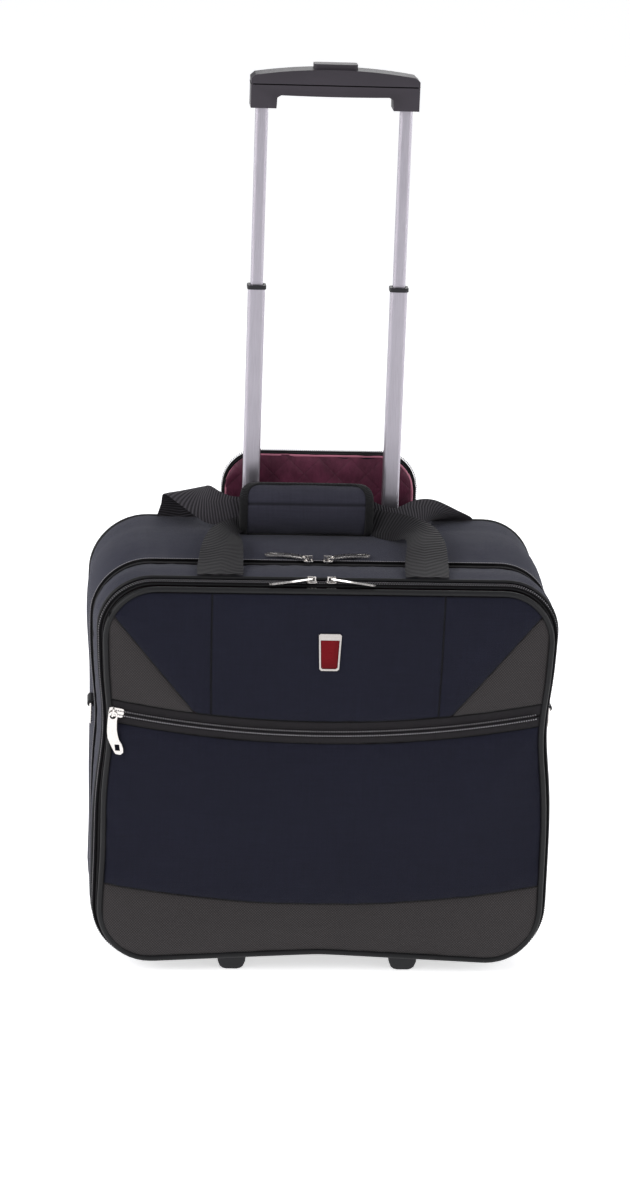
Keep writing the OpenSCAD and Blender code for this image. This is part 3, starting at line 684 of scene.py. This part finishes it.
def accent_z(x):
    return 0.071 + 0.02 * (x / 0.21) ** 2


def corner_z(x):
    return 0.261 + (abs(x) - CORNER_X[x > 0] - 0.0005) * CORNER_SLOPE


def above_tape(x):
    return zip_z(x, -POCKET_TAPE)


def below_tape(x):
    return zip_z(x, POCKET_TAPE)


def columns(x0, x1, step=0.0035):
    """Column positions from x0 to x1, closer together at both ends and at the panel's round corners."""
    extra = [side * (INNER - d) for d in (0.0002, 0.001, 0.0025, 0.005) for side in (1, -1)]
    extra += [x0 + d for d in NEAR] + [x1 - d for d in NEAR]
    xs = spaced(x0, x1, max(2, round((x1 - x0) / step)))
    return sorted(set(xs) | {c for c in extra if x0 < c < x1})


def full_width(half, step):
    """Column positions across a sheet that reaches half each way."""
    return columns(-half, half, step)


def patch(name, xs, low, high, material, body, *nodes, rows=40, puff=0.003, reach=0.02, y=FACE, side=-1,
          valley=0.0014, ripple=0.0004, thick=0.0014, pad=None):
    """A panel of cloth between low(x) and high(x). It swells between its seams and dips into them."""
    slot = {ACCENT: "accent_fabric", LINING: "lining", TAPE: "zip_tape"}.get(material, "navy_fabric")
    ends = len(NEAR) + 1
    points, uvs, near = [], [], []
    for j in range(rows + 1):
        row = []
        for x in xs:
            a, b = low(x), high(x)
            margin = min(NEAR[-1], (b - a) * 0.3)
            from_end = min(j, rows - j)
            if from_end < ends:
                z = min(NEAR[from_end - 1], margin * from_end / len(NEAR)) if from_end else 0.0
                z = a + z if j < ends else b - z
            else:
                z = a + margin + (b - a - 2 * margin) * (j - ends + 1) / (rows - 2 * ends + 2)
            d = max(0.0, min(z - a, b - z, x - xs[0], xs[-1] - x))
            near.append(d)
            soft = noise.noise(Vector((x * 14, z * 14, 0.3)))
            pucker = math.exp(-d / 0.012) * noise.noise(Vector((x * 75, z * 75, 5.1)))
            swell = puff * (1 - math.exp(-d / reach)) - valley * math.exp(-d / 0.0032)
            row.append(settle((x, y + side * (swell + ripple * (soft * 2 + 1.6 * pucker)), z)))
            uvs.append((x, z))
        points.append(row)
    uvs = [uvs[i:i + len(xs)] for i in range(0, len(uvs), len(xs))]
    obj = face_out(grid(name, points, uvs, material), lambda p: Vector((0, side, 0)))
    mark_seam_shade(obj, near)
    go(thicken(obj, thick), body, *nodes, slot=slot)


patch("panel_middle", columns(-SEAM_X[0], SEAM_X[1]), above_tape, edge_high, NAVY, "front_panel",
      "upper_panel", puff=0.0022, ripple=0.0006, pad=0.3)
for side, sign in (("left", -1), ("right", 1)):
    foot = CORNER_X[sign > 0]

    def shoulder_low(x):
        return max(above_tape(x), corner_z(x)) if abs(x) > foot - 0.001 else above_tape(x)

    def accent_high(x):
        return max(min(corner_z(x), edge_high(x)), above_tape(x) + 0.0002)

    xs = columns(*sorted((sign * SEAM_X[sign > 0], sign * (foot + 0.081))))
    patch(f"panel_shoulder_{side}", xs, shoulder_low, edge_high, NAVY, "front_panel", puff=0.002, pad=0.3)
    xs = columns(*sorted((sign * foot, sign * (INNER - EDGE_IN))))
    patch(f"corner_accent_{side}", xs, above_tape, accent_high, ACCENT, "front_panel",
          *(["corner_accents"] if side == "left" else []), puff=0.002, pad=0.3)
wide = full_width(INNER - EDGE_IN, 0.0035)
patch("pocket_front", wide, accent_z, below_tape, NAVY, "front_panel", "pocket_panel", rows=60, puff=0.0052,
      reach=0.038, ripple=0.0008, pad=0.4)
patch("bottom_accent_cloth", wide, edge_low, accent_z, ACCENT, "front_panel", "bottom_accent", rows=26,
      puff=0.003, pad=0.3)

# pocket zip: two tapes with a covered coil each
slit_line = [settle((x, FACE + 0.0004, zip_z(x))) for x in spaced(-0.205, 0.205, 120)]
for part, low, high, nodes, down in (
        ("upper", lambda x: zip_z(x, -0.0003), above_tape, ["pocket_zip"], -1),
        ("lower", below_tape, lambda x: zip_z(x, 0.0003), [], 1)):
    patch(f"pocket_zip_tape_{part}", full_width(INNER - EDGE_IN, 0.005), low, high, TAPE, "front_panel",
          *nodes, rows=12, puff=0.0004, reach=0.003, y=FACE + 0.0008, valley=0.0, ripple=0.00015,
          thick=0.0009)
    coil(f"pocket_coil_{part}", slit_line, lambda p: Vector((0, -1, 0)),
         lambda up, t: up.cross(t).normalized() * down, "front_panel", TAPE)

# panel edge and back
outline_tube("panel_edge_piping", HALF - 0.0038, PANEL[0].z + 0.0038, PANEL[1].z - 0.003, FRONT + 0.0026,
             0.0026, "front_panel", "panel_piping")
edge_band = ring("panel_edge_band", HALF - 0.0012, PANEL[0].z + 0.0012, PANEL[1].z - 0.0012,
                 [(FRONT + 0.005, 0.0), (FRONT + 0.0075, -0.0012), (FRONT + 0.011, -0.0016)], DARK_TAPE)
go(thicken(edge_band, 0.0012), "front_panel", slot="zip_tape")
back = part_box("panel_back")
BOARD_IN = 0.0025  # how far the lining stays inside the panel's back
BOARD = SHELL_HALF - BOARD_IN
patch("panel_inner_lining", full_width(BOARD - 0.0002, 0.006),
      *rounded_ends(BOARD, back[0].z + BOARD_IN, back[1].z - BOARD_IN, CORNER), LINING, "front_panel",
      "panel_back", rows=44, puff=0.0012, y=back[1].y - 0.0016, side=1, thick=0.0022)

polish("badge_frame", BADGE_METAL, 0.0006, 3)
polish("badge_inlay", ENAMEL, 0.0004, 3)


# -------------------- zips round the outline
def zip_half(name, z0, z1, y0, y1, slit_y, toward, body, node):
    """A tape from y0 to y1, with a coil beside the slit; toward is 1 or -1, the way along Y from the coil
    to the slit. Nothing runs along the flat bottom."""
    def at_bottom(p):
        return p.z < z0 + 0.012 and abs(p.x) < FLAT_HALF

    def way_out(p):
        x, z = p.x, p.z - (z0 + z1) / 2
        past_x = max(abs(x) - (SHELL_HALF - CORNER), 0.0)
        past_z = max(abs(z) - ((z1 - z0) / 2 - CORNER), 0.0)
        out = Vector((math.copysign(past_x, x), 0, math.copysign(past_z, z)))
        return out.normalized() if out.length > 1e-6 else Vector((0, 0, 1))

    profile = [(y, 0.0) for y in spaced(y0, y1, 4)]
    tape = ring(name + "_tape", SHELL_HALF, z0, z1, profile, DARK_TAPE, skip=at_bottom,
                marks=(-FLAT_HALF, FLAT_HALF), ripple=0.00012)
    go(thicken(tape, 0.0011), body, node, slot="zip_tape")
    path = rounded_path(SHELL_HALF, z0, z1, step=0.004)
    start = next(i for i, (x, z, nx, nz) in enumerate(path) if x >= FLAT_HALF or z > z0 + 0.012)
    line = [settle((x + nx * 0.0001, slit_y, z + nz * 0.0001))
            for x, z, nx, nz in path[start:] + path[:start] if z >= z0 + 0.002 or abs(x) >= FLAT_HALF]
    coil(name + "_coil", line, way_out, lambda up, t: Vector((0, toward, 0)), body, DARK_TAPE)


SLIT = 0.0004
LAP = 0.0006  # how far a tape reaches under the cloth it is sewn to
zip_half("front_zip_front_half", PANEL[0].z + 0.002, FRONT_ZIP_TOP, FRONT + 0.0105, FRONT_ZIP_Y - SLIT / 2,
         FRONT_ZIP_Y, 1, "front_panel", "front_zip_front")
zip_half("front_zip_rear_half", GUSSET[0].z, FRONT_ZIP_TOP, FRONT_ZIP_Y + SLIT / 2, GUSSET[0].y + LAP,
         FRONT_ZIP_Y, -1, "front_section", "front_zip_rear")
# this half's coil lies behind the slit, on the rear half's coil
zip_half("main_zip_front_half", GUSSET[0].z, MAIN_ZIP_TOP, GUSSET[1].y - LAP, MAIN_ZIP_Y - SLIT / 2,
         MAIN_ZIP_Y, -1, "front_section", "main_zip_front")
zip_half("main_zip_rear_half", SHELL[0].z, MAIN_ZIP_TOP, MAIN_ZIP_Y + SLIT / 2, SHELL[0].y + LAP,
         MAIN_ZIP_Y, -1, "case", "main_zip_rear")

# -------------------- front section
y0, y1 = GUSSET[0].y, GUSSET[1].y
profile = [(y0, 0.0004), (y0 + 0.002, 0.0012), (y0 + 0.005, 0.0014), (y0 + 0.01, 0.0018),
           (y0 + 0.016, 0.0024), (y0 + 0.022, 0.0026), (y0 + 0.028, 0.0022), (y1 - 0.012, 0.0017),
           (y1 - 0.008, 0.0013), (y1 - 0.004, 0.0009), (y1 - 0.001, 0.0006), (y1, 0.0)]
gusset = ring("front_section_cloth", *BAND, profile, NAVY_PAINTED_LIT, ripple=0.001,
              seams=(y0, y1))
go(thicken(gusset, 0.0024), "front_section", "gusset_shell", slot="navy_fabric")
outline_tube("front_section_piping", *BAND, y0 + 0.0012, 0.0018,
             "front_section", "gusset_piping", out=0.0004)
WALL = 0.003  # the band's wall, with its lining inside
inside = SHELL_HALF - WALL
inner_ends = rounded_ends(inside, GUSSET[0].z + WALL, GUSSET[1].z - WALL, CORNER - WALL)
for part, y, side in (("front", y1 - 0.0024, -1), ("rear", y1 - 0.0012, 1)):
    patch(f"compartment_wall_{part}", full_width(inside - 0.0005, 0.007), *inner_ends, LINING,
          "front_section", puff=0.0008, y=y, side=side, thick=0.001)


def lining_ring(name, half, z0, z1, r, y0, y1, off, ripple):
    """A compartment's lining round its side walls, facing inward."""
    lining = ring(name, half, z0, z1, [(y, off) for y in spaced(y0, y1, 10)], LINING, r=r, ripple=ripple,
                  step=0.008)
    lining.data.flip_normals()
    return lining


LINING_IN = WALL + 0.0004
band_lining = lining_ring("front_section_lining", SHELL_HALF - LINING_IN, GUSSET[0].z + LINING_IN,
                          GUSSET[1].z - LINING_IN, CORNER - LINING_IN, y0 + 0.0008, y1 - 0.003,
                          -0.0005, 0.0005)
go(thicken(band_lining, 0.0008), "front_section", slot="lining")

# -------------------- back section
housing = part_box("wheel_housings")
WHEEL_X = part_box("tyre_right")[0].x + 0.009
ARCH = 0.015  # half width of the opening over each wheel
H0, H1 = WHEEL_X - ARCH, WHEEL_X + ARCH


def cut_out(p):
    well = abs(p.x) < WELL[1].x and WELL[0].y < p.y < WELL[1].y and p.z > 0.36
    wheel = H0 < abs(p.x) < H1 and p.y > housing[0].y and p.z < 0.05
    return well or wheel


y0, y1 = SHELL[0].y, SHELL[1].y
profile = [(y0, 0.0), (y0 + 0.001, 0.0006), (y0 + 0.003, 0.0012), (y0 + 0.006, 0.0014), (y0 + 0.012, 0.0018),
           (y0 + 0.025, 0.0028), (y0 + 0.042, 0.0034), (y0 + 0.06, 0.0036), (0.044, 0.0034), (0.054, 0.0028),
           (0.0595, 0.0022), (0.07, 0.0024), (0.083, 0.0022), (0.0965, 0.0018), (0.1005, 0.0012),
           (0.1045, 0.0002)]
body = ring("back_section_cloth", *BODY, profile, NAVY_PAINTED_LIT, skip=cut_out,
            marks=(-H0, H0, -WELL[1].x, WELL[1].x, -FLAT_HALF, FLAT_HALF), ripple=0.0012, seams=(y0, y1),
            drop=lambda y: 0.0042 * (1 - smoothstep(y0, 0.018, y)))
go(thicken(body, 0.003), "case", "main_shell", slot="navy_fabric")

back_low, back_high = rounded_ends(SHELL_HALF, SHELL[0].z + 0.001, SHELL[1].z - 0.001, CORNER)
BACK_HALF = SHELL_HALF - 0.0005
for part, a, b in (("left", -BACK_HALF, -H1), ("over_wheel_left", -H1, -H0), ("middle", -H0, H0),
                   ("over_wheel_right", H0, H1), ("right", H1, BACK_HALF)):
    foot_z = (lambda x: housing[1].z) if "wheel" in part else back_low
    patch(f"back_cloth_{part}", columns(a, b, 0.007), foot_z, back_high, NAVY_PAINTED_LIT, "case", rows=50,
          puff=0.0012, y=y1 - 0.0006, side=1, valley=0.0006, thick=0.0026, ripple=0.0005)
outline_tube("back_edge_piping", *BODY, 0.1022, 0.0024, "case", "back_piping",
             out=0.0002)

# lining
lin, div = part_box("main_lining"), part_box("divider")
LINING_R, CLEAR = CORNER - 0.0035, 0.0008
wall_cloth = lining_ring("compartment_lining", lin[1].x - CLEAR, lin[0].z + CLEAR, lin[1].z - CLEAR,
                         LINING_R - CLEAR, lin[0].y, div[0].y, -0.0007, 0.0007)
go(thicken(wall_cloth, 0.0012), "case", "main_lining", slot="lining")
patch("divider_lining", full_width(lin[1].x - 0.0005, 0.007),
      *rounded_ends(lin[1].x, lin[0].z, lin[1].z, LINING_R), LINING, "case", "divider", rows=44, puff=0.0009,
      y=div[0].y + 0.0012, thick=0.0022)

# -------------------- carry handle
# each station is a strap's middle and its half width, in millimetres, over the top of the case
FRONT_LOOP = [
    ([-101, -84, 3.5], [21, 0, 0]), ([-100, -60, 7.8], [21, 0, 1]), ([-97, -27, 15.2], [19, -1, -1]),
    ([-93, 0, 19.2], [14, -5, -3]), ([-86, 20, 18], [6, -8, -6]), ([-76, 31, 20], [0, -3, -7.5]),
    ([-40, 33.5, 27], [0, -1, -11]), ([-12, 33.5, 30.5], [0, -1, -12]), ([34, 33.5, 28.5], [0, -2, -12]),
    ([52, 31, 21.5], [-2, -4, -12]), ([72, 22, 20.5], [-7, -9, -10]), ([88, 4, 21.5], [-14, -10, -4]),
    ([93, -20, 17.5], [-18, -4, -1]), ([91, -52, 9], [-20, 0, 0]), ([89, -84, 3.5], [-20, 0, 0])]
REAR_LOOP = [
    ([-136, 98, 0.3], [20, 0, 0]), ([-133, 94, 17], [19, 1, 2]), ([-129, 85, 31], [20, 2, 3]),
    ([-122, 72, 29.5], [11, 6, 8]), ([-108, 60, 25], [2, 4, 17]), ([-92, 51, 23], [0, 2, 14]),
    ([-74, 47.5, 24], [0, 1, 11.5]), ([-12, 47, 24], [0, 0, 11.5]), ([40, 47.5, 23], [0, 1, 11.5]),
    ([56, 48, 19.5], [0, 1, 10.5]), ([72, 50.5, 16], [-1, 2, 10.5]), ([90, 58, 18.5], [0, 5, 13]),
    ([104, 67, 17], [6, 6, 12]), ([119, 82, 10], [17, 5, 4]), ([129, 95, 4.5], [20, 2, 0.5]),
    ([130, 98, 0.3], [20, 0, 0])]
STRAP = 0.0017
webbing("front_webbing_loop", FRONT_LOOP, GUSSET[1].z, STRAP, "carry_handle", "front_handle_web", WEB)
webbing("rear_webbing_loop", REAR_LOOP, SHELL[1].z, STRAP, "case", "rear_handle_web", REAR_WEB_PAINTED_LIT)

wrap_lo, wrap_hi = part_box("handle_wrap")
WRAP_Y, WRAP_Z = 0.04, (wrap_lo.z + wrap_hi.z) / 2
WRAP_SIZE = (0.016, 0.0232)  # the wrap's radii, along Y and Z
WRAP_ENDS = (76.0, 268.0)  # its turn, from the free edge on top over the front to the bottom
WRAP_STEPS = 200
PAD_TOP_R, PAD_LOW_R = 0.021, 0.008  # the flat pad's corner radii
PAD_LEFT, PAD_RIGHT = wrap_lo.x + 0.001, wrap_hi.x - 0.001
PAD_SEAM = 0.026  # distance of its sewn line from the free upper edge


def wrap_point(x, angle, lift):
    a = math.radians(angle)
    deep, high = WRAP_SIZE[0] + lift, WRAP_SIZE[1] + lift
    return Vector((x, WRAP_Y + deep * math.cos(a), WRAP_Z + high * math.sin(a)))


def wrap_turn(step):
    """The turn in degrees, step by step from the free upper edge."""
    return WRAP_ENDS[0] + (WRAP_ENDS[1] - WRAP_ENDS[0]) * step / WRAP_STEPS


WRAP_ARC = [0.0]
for k in range(1, WRAP_STEPS + 1):
    chord = wrap_point(0, wrap_turn(k), 0) - wrap_point(0, wrap_turn(k - 1), 0)
    WRAP_ARC.append(WRAP_ARC[-1] + chord.length)
WRAP_LENGTH = WRAP_ARC[-1]


def wrap_angle(d):
    """The turn at d metres round the wrap from its free upper edge."""
    d = min(max(d, 0.0), WRAP_LENGTH)
    k = next((i for i in range(1, WRAP_STEPS + 1) if WRAP_ARC[i] >= d), WRAP_STEPS)
    return wrap_turn(k - 1 + (d - WRAP_ARC[k - 1]) / (WRAP_ARC[k] - WRAP_ARC[k - 1]))


def pad_inset(d):
    """How far the pad's round corners draw its sides in, d metres from its upper edge."""
    inset = 0.0
    for r, far in ((PAD_TOP_R, d), (PAD_LOW_R, WRAP_LENGTH - d)):
        inset += r - math.sqrt(max(0.0, r * r - (r - far) ** 2)) if far < r else 0.0
    return inset


def pad_outline(inset):
    """The flat pad's outline, drawn in by inset, as (x, distance round the wrap)."""
    x0, x1, d0, d1 = PAD_LEFT + inset, PAD_RIGHT - inset, inset, WRAP_LENGTH - inset
    arcs = []
    for x, d, right, down, full in ((x1, d0, 1, -1, PAD_TOP_R), (x1, d1, 1, 1, PAD_LOW_R),
                                    (x0, d1, -1, 1, PAD_LOW_R), (x0, d0, -1, -1, PAD_TOP_R)):
        r = max(full - inset, 0.0006)
        turns = spaced(0, 90, 8) if right == down else spaced(90, 0, 8)
        arcs.append([(x - right * r + right * r * math.cos(math.radians(a)),
                      d - down * r + down * r * math.sin(math.radians(a))) for a in turns])
    outline = []
    for arc, following, n in zip(arcs, arcs[1:] + arcs[:1], (16, 30, 16, 30)):
        (xa, da), (xb, db) = arc[-1], following[0]
        outline += arc[:-1] + list(zip(spaced(xa, xb, n), spaced(da, db, n)))[:-1]
    return outline


def off_wrap_axis(p):
    return p - Vector((p.x, WRAP_Y, WRAP_Z))


rows, uvs = [], []
for j in range(49):
    down = (0.5 - 0.5 * math.cos(math.pi * j / 48)) * WRAP_LENGTH
    left, right = PAD_LEFT + pad_inset(down), PAD_RIGHT - pad_inset(down)
    angle = wrap_angle(down)
    row = []
    for i in range(61):
        x = left + (right - left) * (0.5 - 0.5 * math.cos(math.pi * i / 60))
        edge = min(down, WRAP_LENGTH - down, x - wrap_lo.x, wrap_hi.x - x)
        soft = noise.noise(Vector((x * 45, angle / 30, 2)))
        lift = 0.0022 * (1 - math.exp(-edge / 0.008)) - 0.0012 * bell(down, PAD_SEAM, 0.0012) + 0.0007 * soft
        row.append(wrap_point(x, angle, lift))
    rows.append(row)
    uvs.append([(p.x, down) for p in row])
wrap = face_out(grid("handle_pad", rows, uvs, PAD_NAVY_PAINTED_LIT), off_wrap_axis)
# the pad's sewn line gets the same painted shade as the seams
mark_seam_shade(wrap, [abs(v - PAD_SEAM) for row in uvs for u, v in row], 0.0007)
go(thicken(wrap, 0.0036), "carry_handle", "handle_wrap", slot="navy_fabric")
rows, uvs = [], []
for inset, lift in ((0.0006, -0.0036), (-0.0008, -0.0018), (-0.0008, 0.0006), (0.0006, 0.0022),
                    (0.003, 0.0026), (0.0062, 0.0028), (0.007, 0.002)):
    rows.append([wrap_point(x, wrap_angle(d), lift) for x, d in pad_outline(inset)])
    uvs.append([(i * 0.003, inset + lift) for i in range(len(rows[-1]))])
binding = face_out(grid("handle_pad_binding", rows, uvs, BINDING, closed=True), off_wrap_axis)
go(thicken(binding, 0.001), "carry_handle", slot="webbing")

# -------------------- stowage flap
flo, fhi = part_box("handle_flap")
FLAP_R = 0.034
FLAP_MID = (flo.y + fhi.y) / 2
SHRINK = 0.985  # the flap's lining against its back cloth


def flap_high(x, grow=0.0):
    return rounded_ends(fhi.x + grow, flo.z, fhi.z + grow, FLAP_R)[1](x)


def flap_rim(grow, y):
    """The flap's edge, grown outward, from one foot over the top to the other."""
    half = fhi.x + grow
    over = [Vector((x, y, flap_high(x, grow))) for x in spaced(-half + 1e-5, half - 1e-5, 120)]
    return [Vector((-half, y, flo.z + 0.002))] + over + [Vector((half, y, flo.z + 0.002))]


def even_rim(grow, y):
    return [p for p, t in resample(flap_rim(grow, y), 0.004)]


def flap_out(p):
    return Vector((p.x * 0.35, 0, max(p.z - flo.z - 0.01, 0.0))).normalized()


flap_cols = sorted(set(spaced(-fhi.x + 0.0005, fhi.x - 0.0005, 50))
                   | {s * (fhi.x - d) for s in (-1, 1) for d in (0.001, 0.002)})
patch("flap_back_cloth", flap_cols, lambda x: flo.z + 0.001, flap_high, NAVY, "flap", "handle_flap",
      rows=26, puff=0.001, reach=0.012, y=fhi.y - 0.0008, side=1, thick=0.002, pad=0.4)
patch("flap_lining_cloth", [x * SHRINK for x in flap_cols], lambda x: flo.z + 0.0022,
      lambda x: flap_high(x / SHRINK) - 0.0014, LINING, "flap", "flap_lining", rows=30, puff=0.0034,
      reach=0.006, y=flo.y - 0.0006, ripple=0.001, valley=0.0, pad=0.5)
# the flap's edge piping, painted lighter as a highlight
edge_piping = tube("flap_edge_piping", even_rim(-0.0024, flo.y - 0.0004), 0.0015, LINING_EDGE_HIGHLIGHT, sides=8)
go(edge_piping, "flap", slot="lining")
zip_tape = tube("flap_zip_tape", even_rim(0.0002, FLAP_MID + 0.0006), 0.0015, TAPE)
go(zip_tape, "flap", "flap_zip", slot="zip_tape")
teeth("flap_zip_coil", flap_rim(0.0016, FLAP_MID + 0.0016), flap_out, Vector((0, 1, 0)), "flap",
      0.0019, 0.0022)

# -------------------- hard parts: CAD shapes with broken edges
for material, width, nodes in (
        (ALLOY, 0.0003, "outer_tubes middle_tubes upper_tubes"), (PLASTIC, 0.0005, "middle_collars"),
        (GRIP, 0.003, "grip_lower"), (GRIP, 0.0055, "grip_upper"), (GRIP, 0.0012, "grip_button"),
        (PLASTIC, 0.0008, "handle_mounts"), (PLASTIC, 0.0015, "wheel_housings"), (STEEL, 0.0003, "axles"),
        (PLASTIC, 0.001, "front_feet"), (STEEL, 0.0004, "housing_screws"),
        (RUBBER, 0.001, "tyre_left tyre_right"), (GRIP, 0.0008, "hub_left hub_right"),
        (NICKEL, 0.0003, "pocket_slider front_slider_left front_slider_right"),
        (NICKEL, 0.0003, "main_slider_left main_slider_right"),
        (NICKEL, 0.0004, "pocket_pull front_pull_left front_pull_right main_pull_left main_pull_right"),
        (NICKEL, 0.0, "ring_left ring_right"), (PLASTIC, 0.001, "base_plate"),
        (PLASTIC, 0.0005, "ring_tabs"), (STEEL, 0.0, "button_spring"),
        (LINING, 0.0012, "well_lining laptop_sleeve"),
        (BINDING, 0.0012, "sleeve_strap"), (LINING, 0.0012, "organizer")):
    for node in nodes.split():
        polish(node, material, width)

# a dark cord of painted shade along the line where the grip's halves meet
low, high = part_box("grip_upper")
SEAM_R = 0.003
mid_x, mid_y = (low.x + high.x) / 2, (low.y + high.y) / 2
line = []
for sx, sy, first in ((1, -1, -90), (1, 1, 0), (-1, 1, 90), (-1, -1, 180)):
    cx = mid_x + sx * ((high.x - low.x) / 2 - SEAM_R - 0.0001)
    cy = mid_y + sy * ((high.y - low.y) / 2 - SEAM_R - 0.0001)
    for a in spaced(first, first + 90, 6):
        turn = math.radians(a)
        line.append(Vector((cx + SEAM_R * math.cos(turn), cy + SEAM_R * math.sin(turn), low.z)))
go(tube("grip_parting_line", line, 0.0006, GROOVE_SHADE, sides=6, closed=True), "grip_stage", slot="grip_plastic")


# -------------------- stage, light and camera
def area_light(name, place, aim_z, size, power):
    """A soft rectangular lamp that faces the case at height aim_z."""
    data = bpy.data.lights.new(name, "AREA")
    data.shape, data.size, data.size_y, data.energy = "RECTANGLE", *size, power
    obj = bpy.data.objects.new(name, data)
    obj.location = place
    obj.rotation_euler = (Vector((0, 0, aim_z)) - Vector(place)).to_track_quat("-Z", "Y").to_euler()
    bpy.context.scene.collection.objects.link(obj)


ground = Shader("pale_floor", (0.9, 0.9, 0.91), 0.35, Specular_IOR_Level=0.3, Emission_Color=(1, 1, 1, 1),
                Emission_Strength=0.62)
add("floor", [(-6, -6, 0), (6, -6, 0), (6, 8, 0), (-6, 8, 0)], [[0, 1, 2, 3]], ground.mat)

# the world: white behind the case, and dimmer, slightly blue where it lights the case
world = bpy.data.worlds.new("studio")
world.use_nodes = True
sky = world.node_tree
backdrop, dim = sky.nodes["Background"], sky.nodes.new("ShaderNodeBackground")
for shader, color, strength in ((backdrop, (1.0, 1.0, 1.0, 1.0), 1.0), (dim, (0.96, 0.97, 1.0, 1.0), 0.42)):
    shader.inputs[0].default_value, shader.inputs[1].default_value = color, strength
seen, pick = sky.nodes.new("ShaderNodeLightPath"), sky.nodes.new("ShaderNodeMixShader")
sky.links.new(seen.outputs["Is Camera Ray"], pick.inputs[0])
sky.links.new(dim.outputs[0], pick.inputs[1])
sky.links.new(backdrop.outputs[0], pick.inputs[2])
sky.links.new(pick.outputs[0], sky.nodes["World Output"].inputs["Surface"])
bpy.context.scene.world = world
bpy.context.scene.view_settings.view_transform = "Standard"
for name, place, aim_z, size, power in (
        ("key", (-2.1, -1.6, 1.7), 0.25, (1.4, 1.4), 48), ("fill", (2.0, -1.6, 1.4), 0.25, (1.4, 1.4), 24),
        ("top", (0.0, 0.2, 2.6), 0.3, (2.2, 1.6), 9), ("back", (0.6, 2.4, 1.6), 0.3, (1.6, 1.6), 14),
        ("left", (-2.6, 0.5, 0.9), 0.3, (1.2, 1.4), 15), ("right", (2.6, 0.5, 0.9), 0.3, (1.2, 1.4), 15)):
    area_light(name, place, aim_z, size, power)

CAMERA_AT = (-0.2289, -2.9675, 1.2467)
YAW, PITCH, ROLL = (math.radians(a) for a in (4.27, 16.99, 2.03))
camera = bpy.data.objects.new("camera", bpy.data.cameras.new("camera"))
bpy.context.scene.collection.objects.link(camera)
bpy.context.scene.camera = camera
camera.data.lens, camera.data.sensor_width = 99.08, 36.0
ahead = Vector((math.sin(YAW) * math.cos(PITCH), math.cos(YAW) * math.cos(PITCH), -math.sin(PITCH)))
right = Vector((math.cos(YAW), -math.sin(YAW), 0))
up = right.cross(ahead)
right, up = math.cos(ROLL) * right + math.sin(ROLL) * up, math.cos(ROLL) * up - math.sin(ROLL) * right
turned = Matrix((right, up, -ahead)).transposed().to_4x4()
camera.matrix_world = Matrix.Translation(CAMERA_AT) @ turned
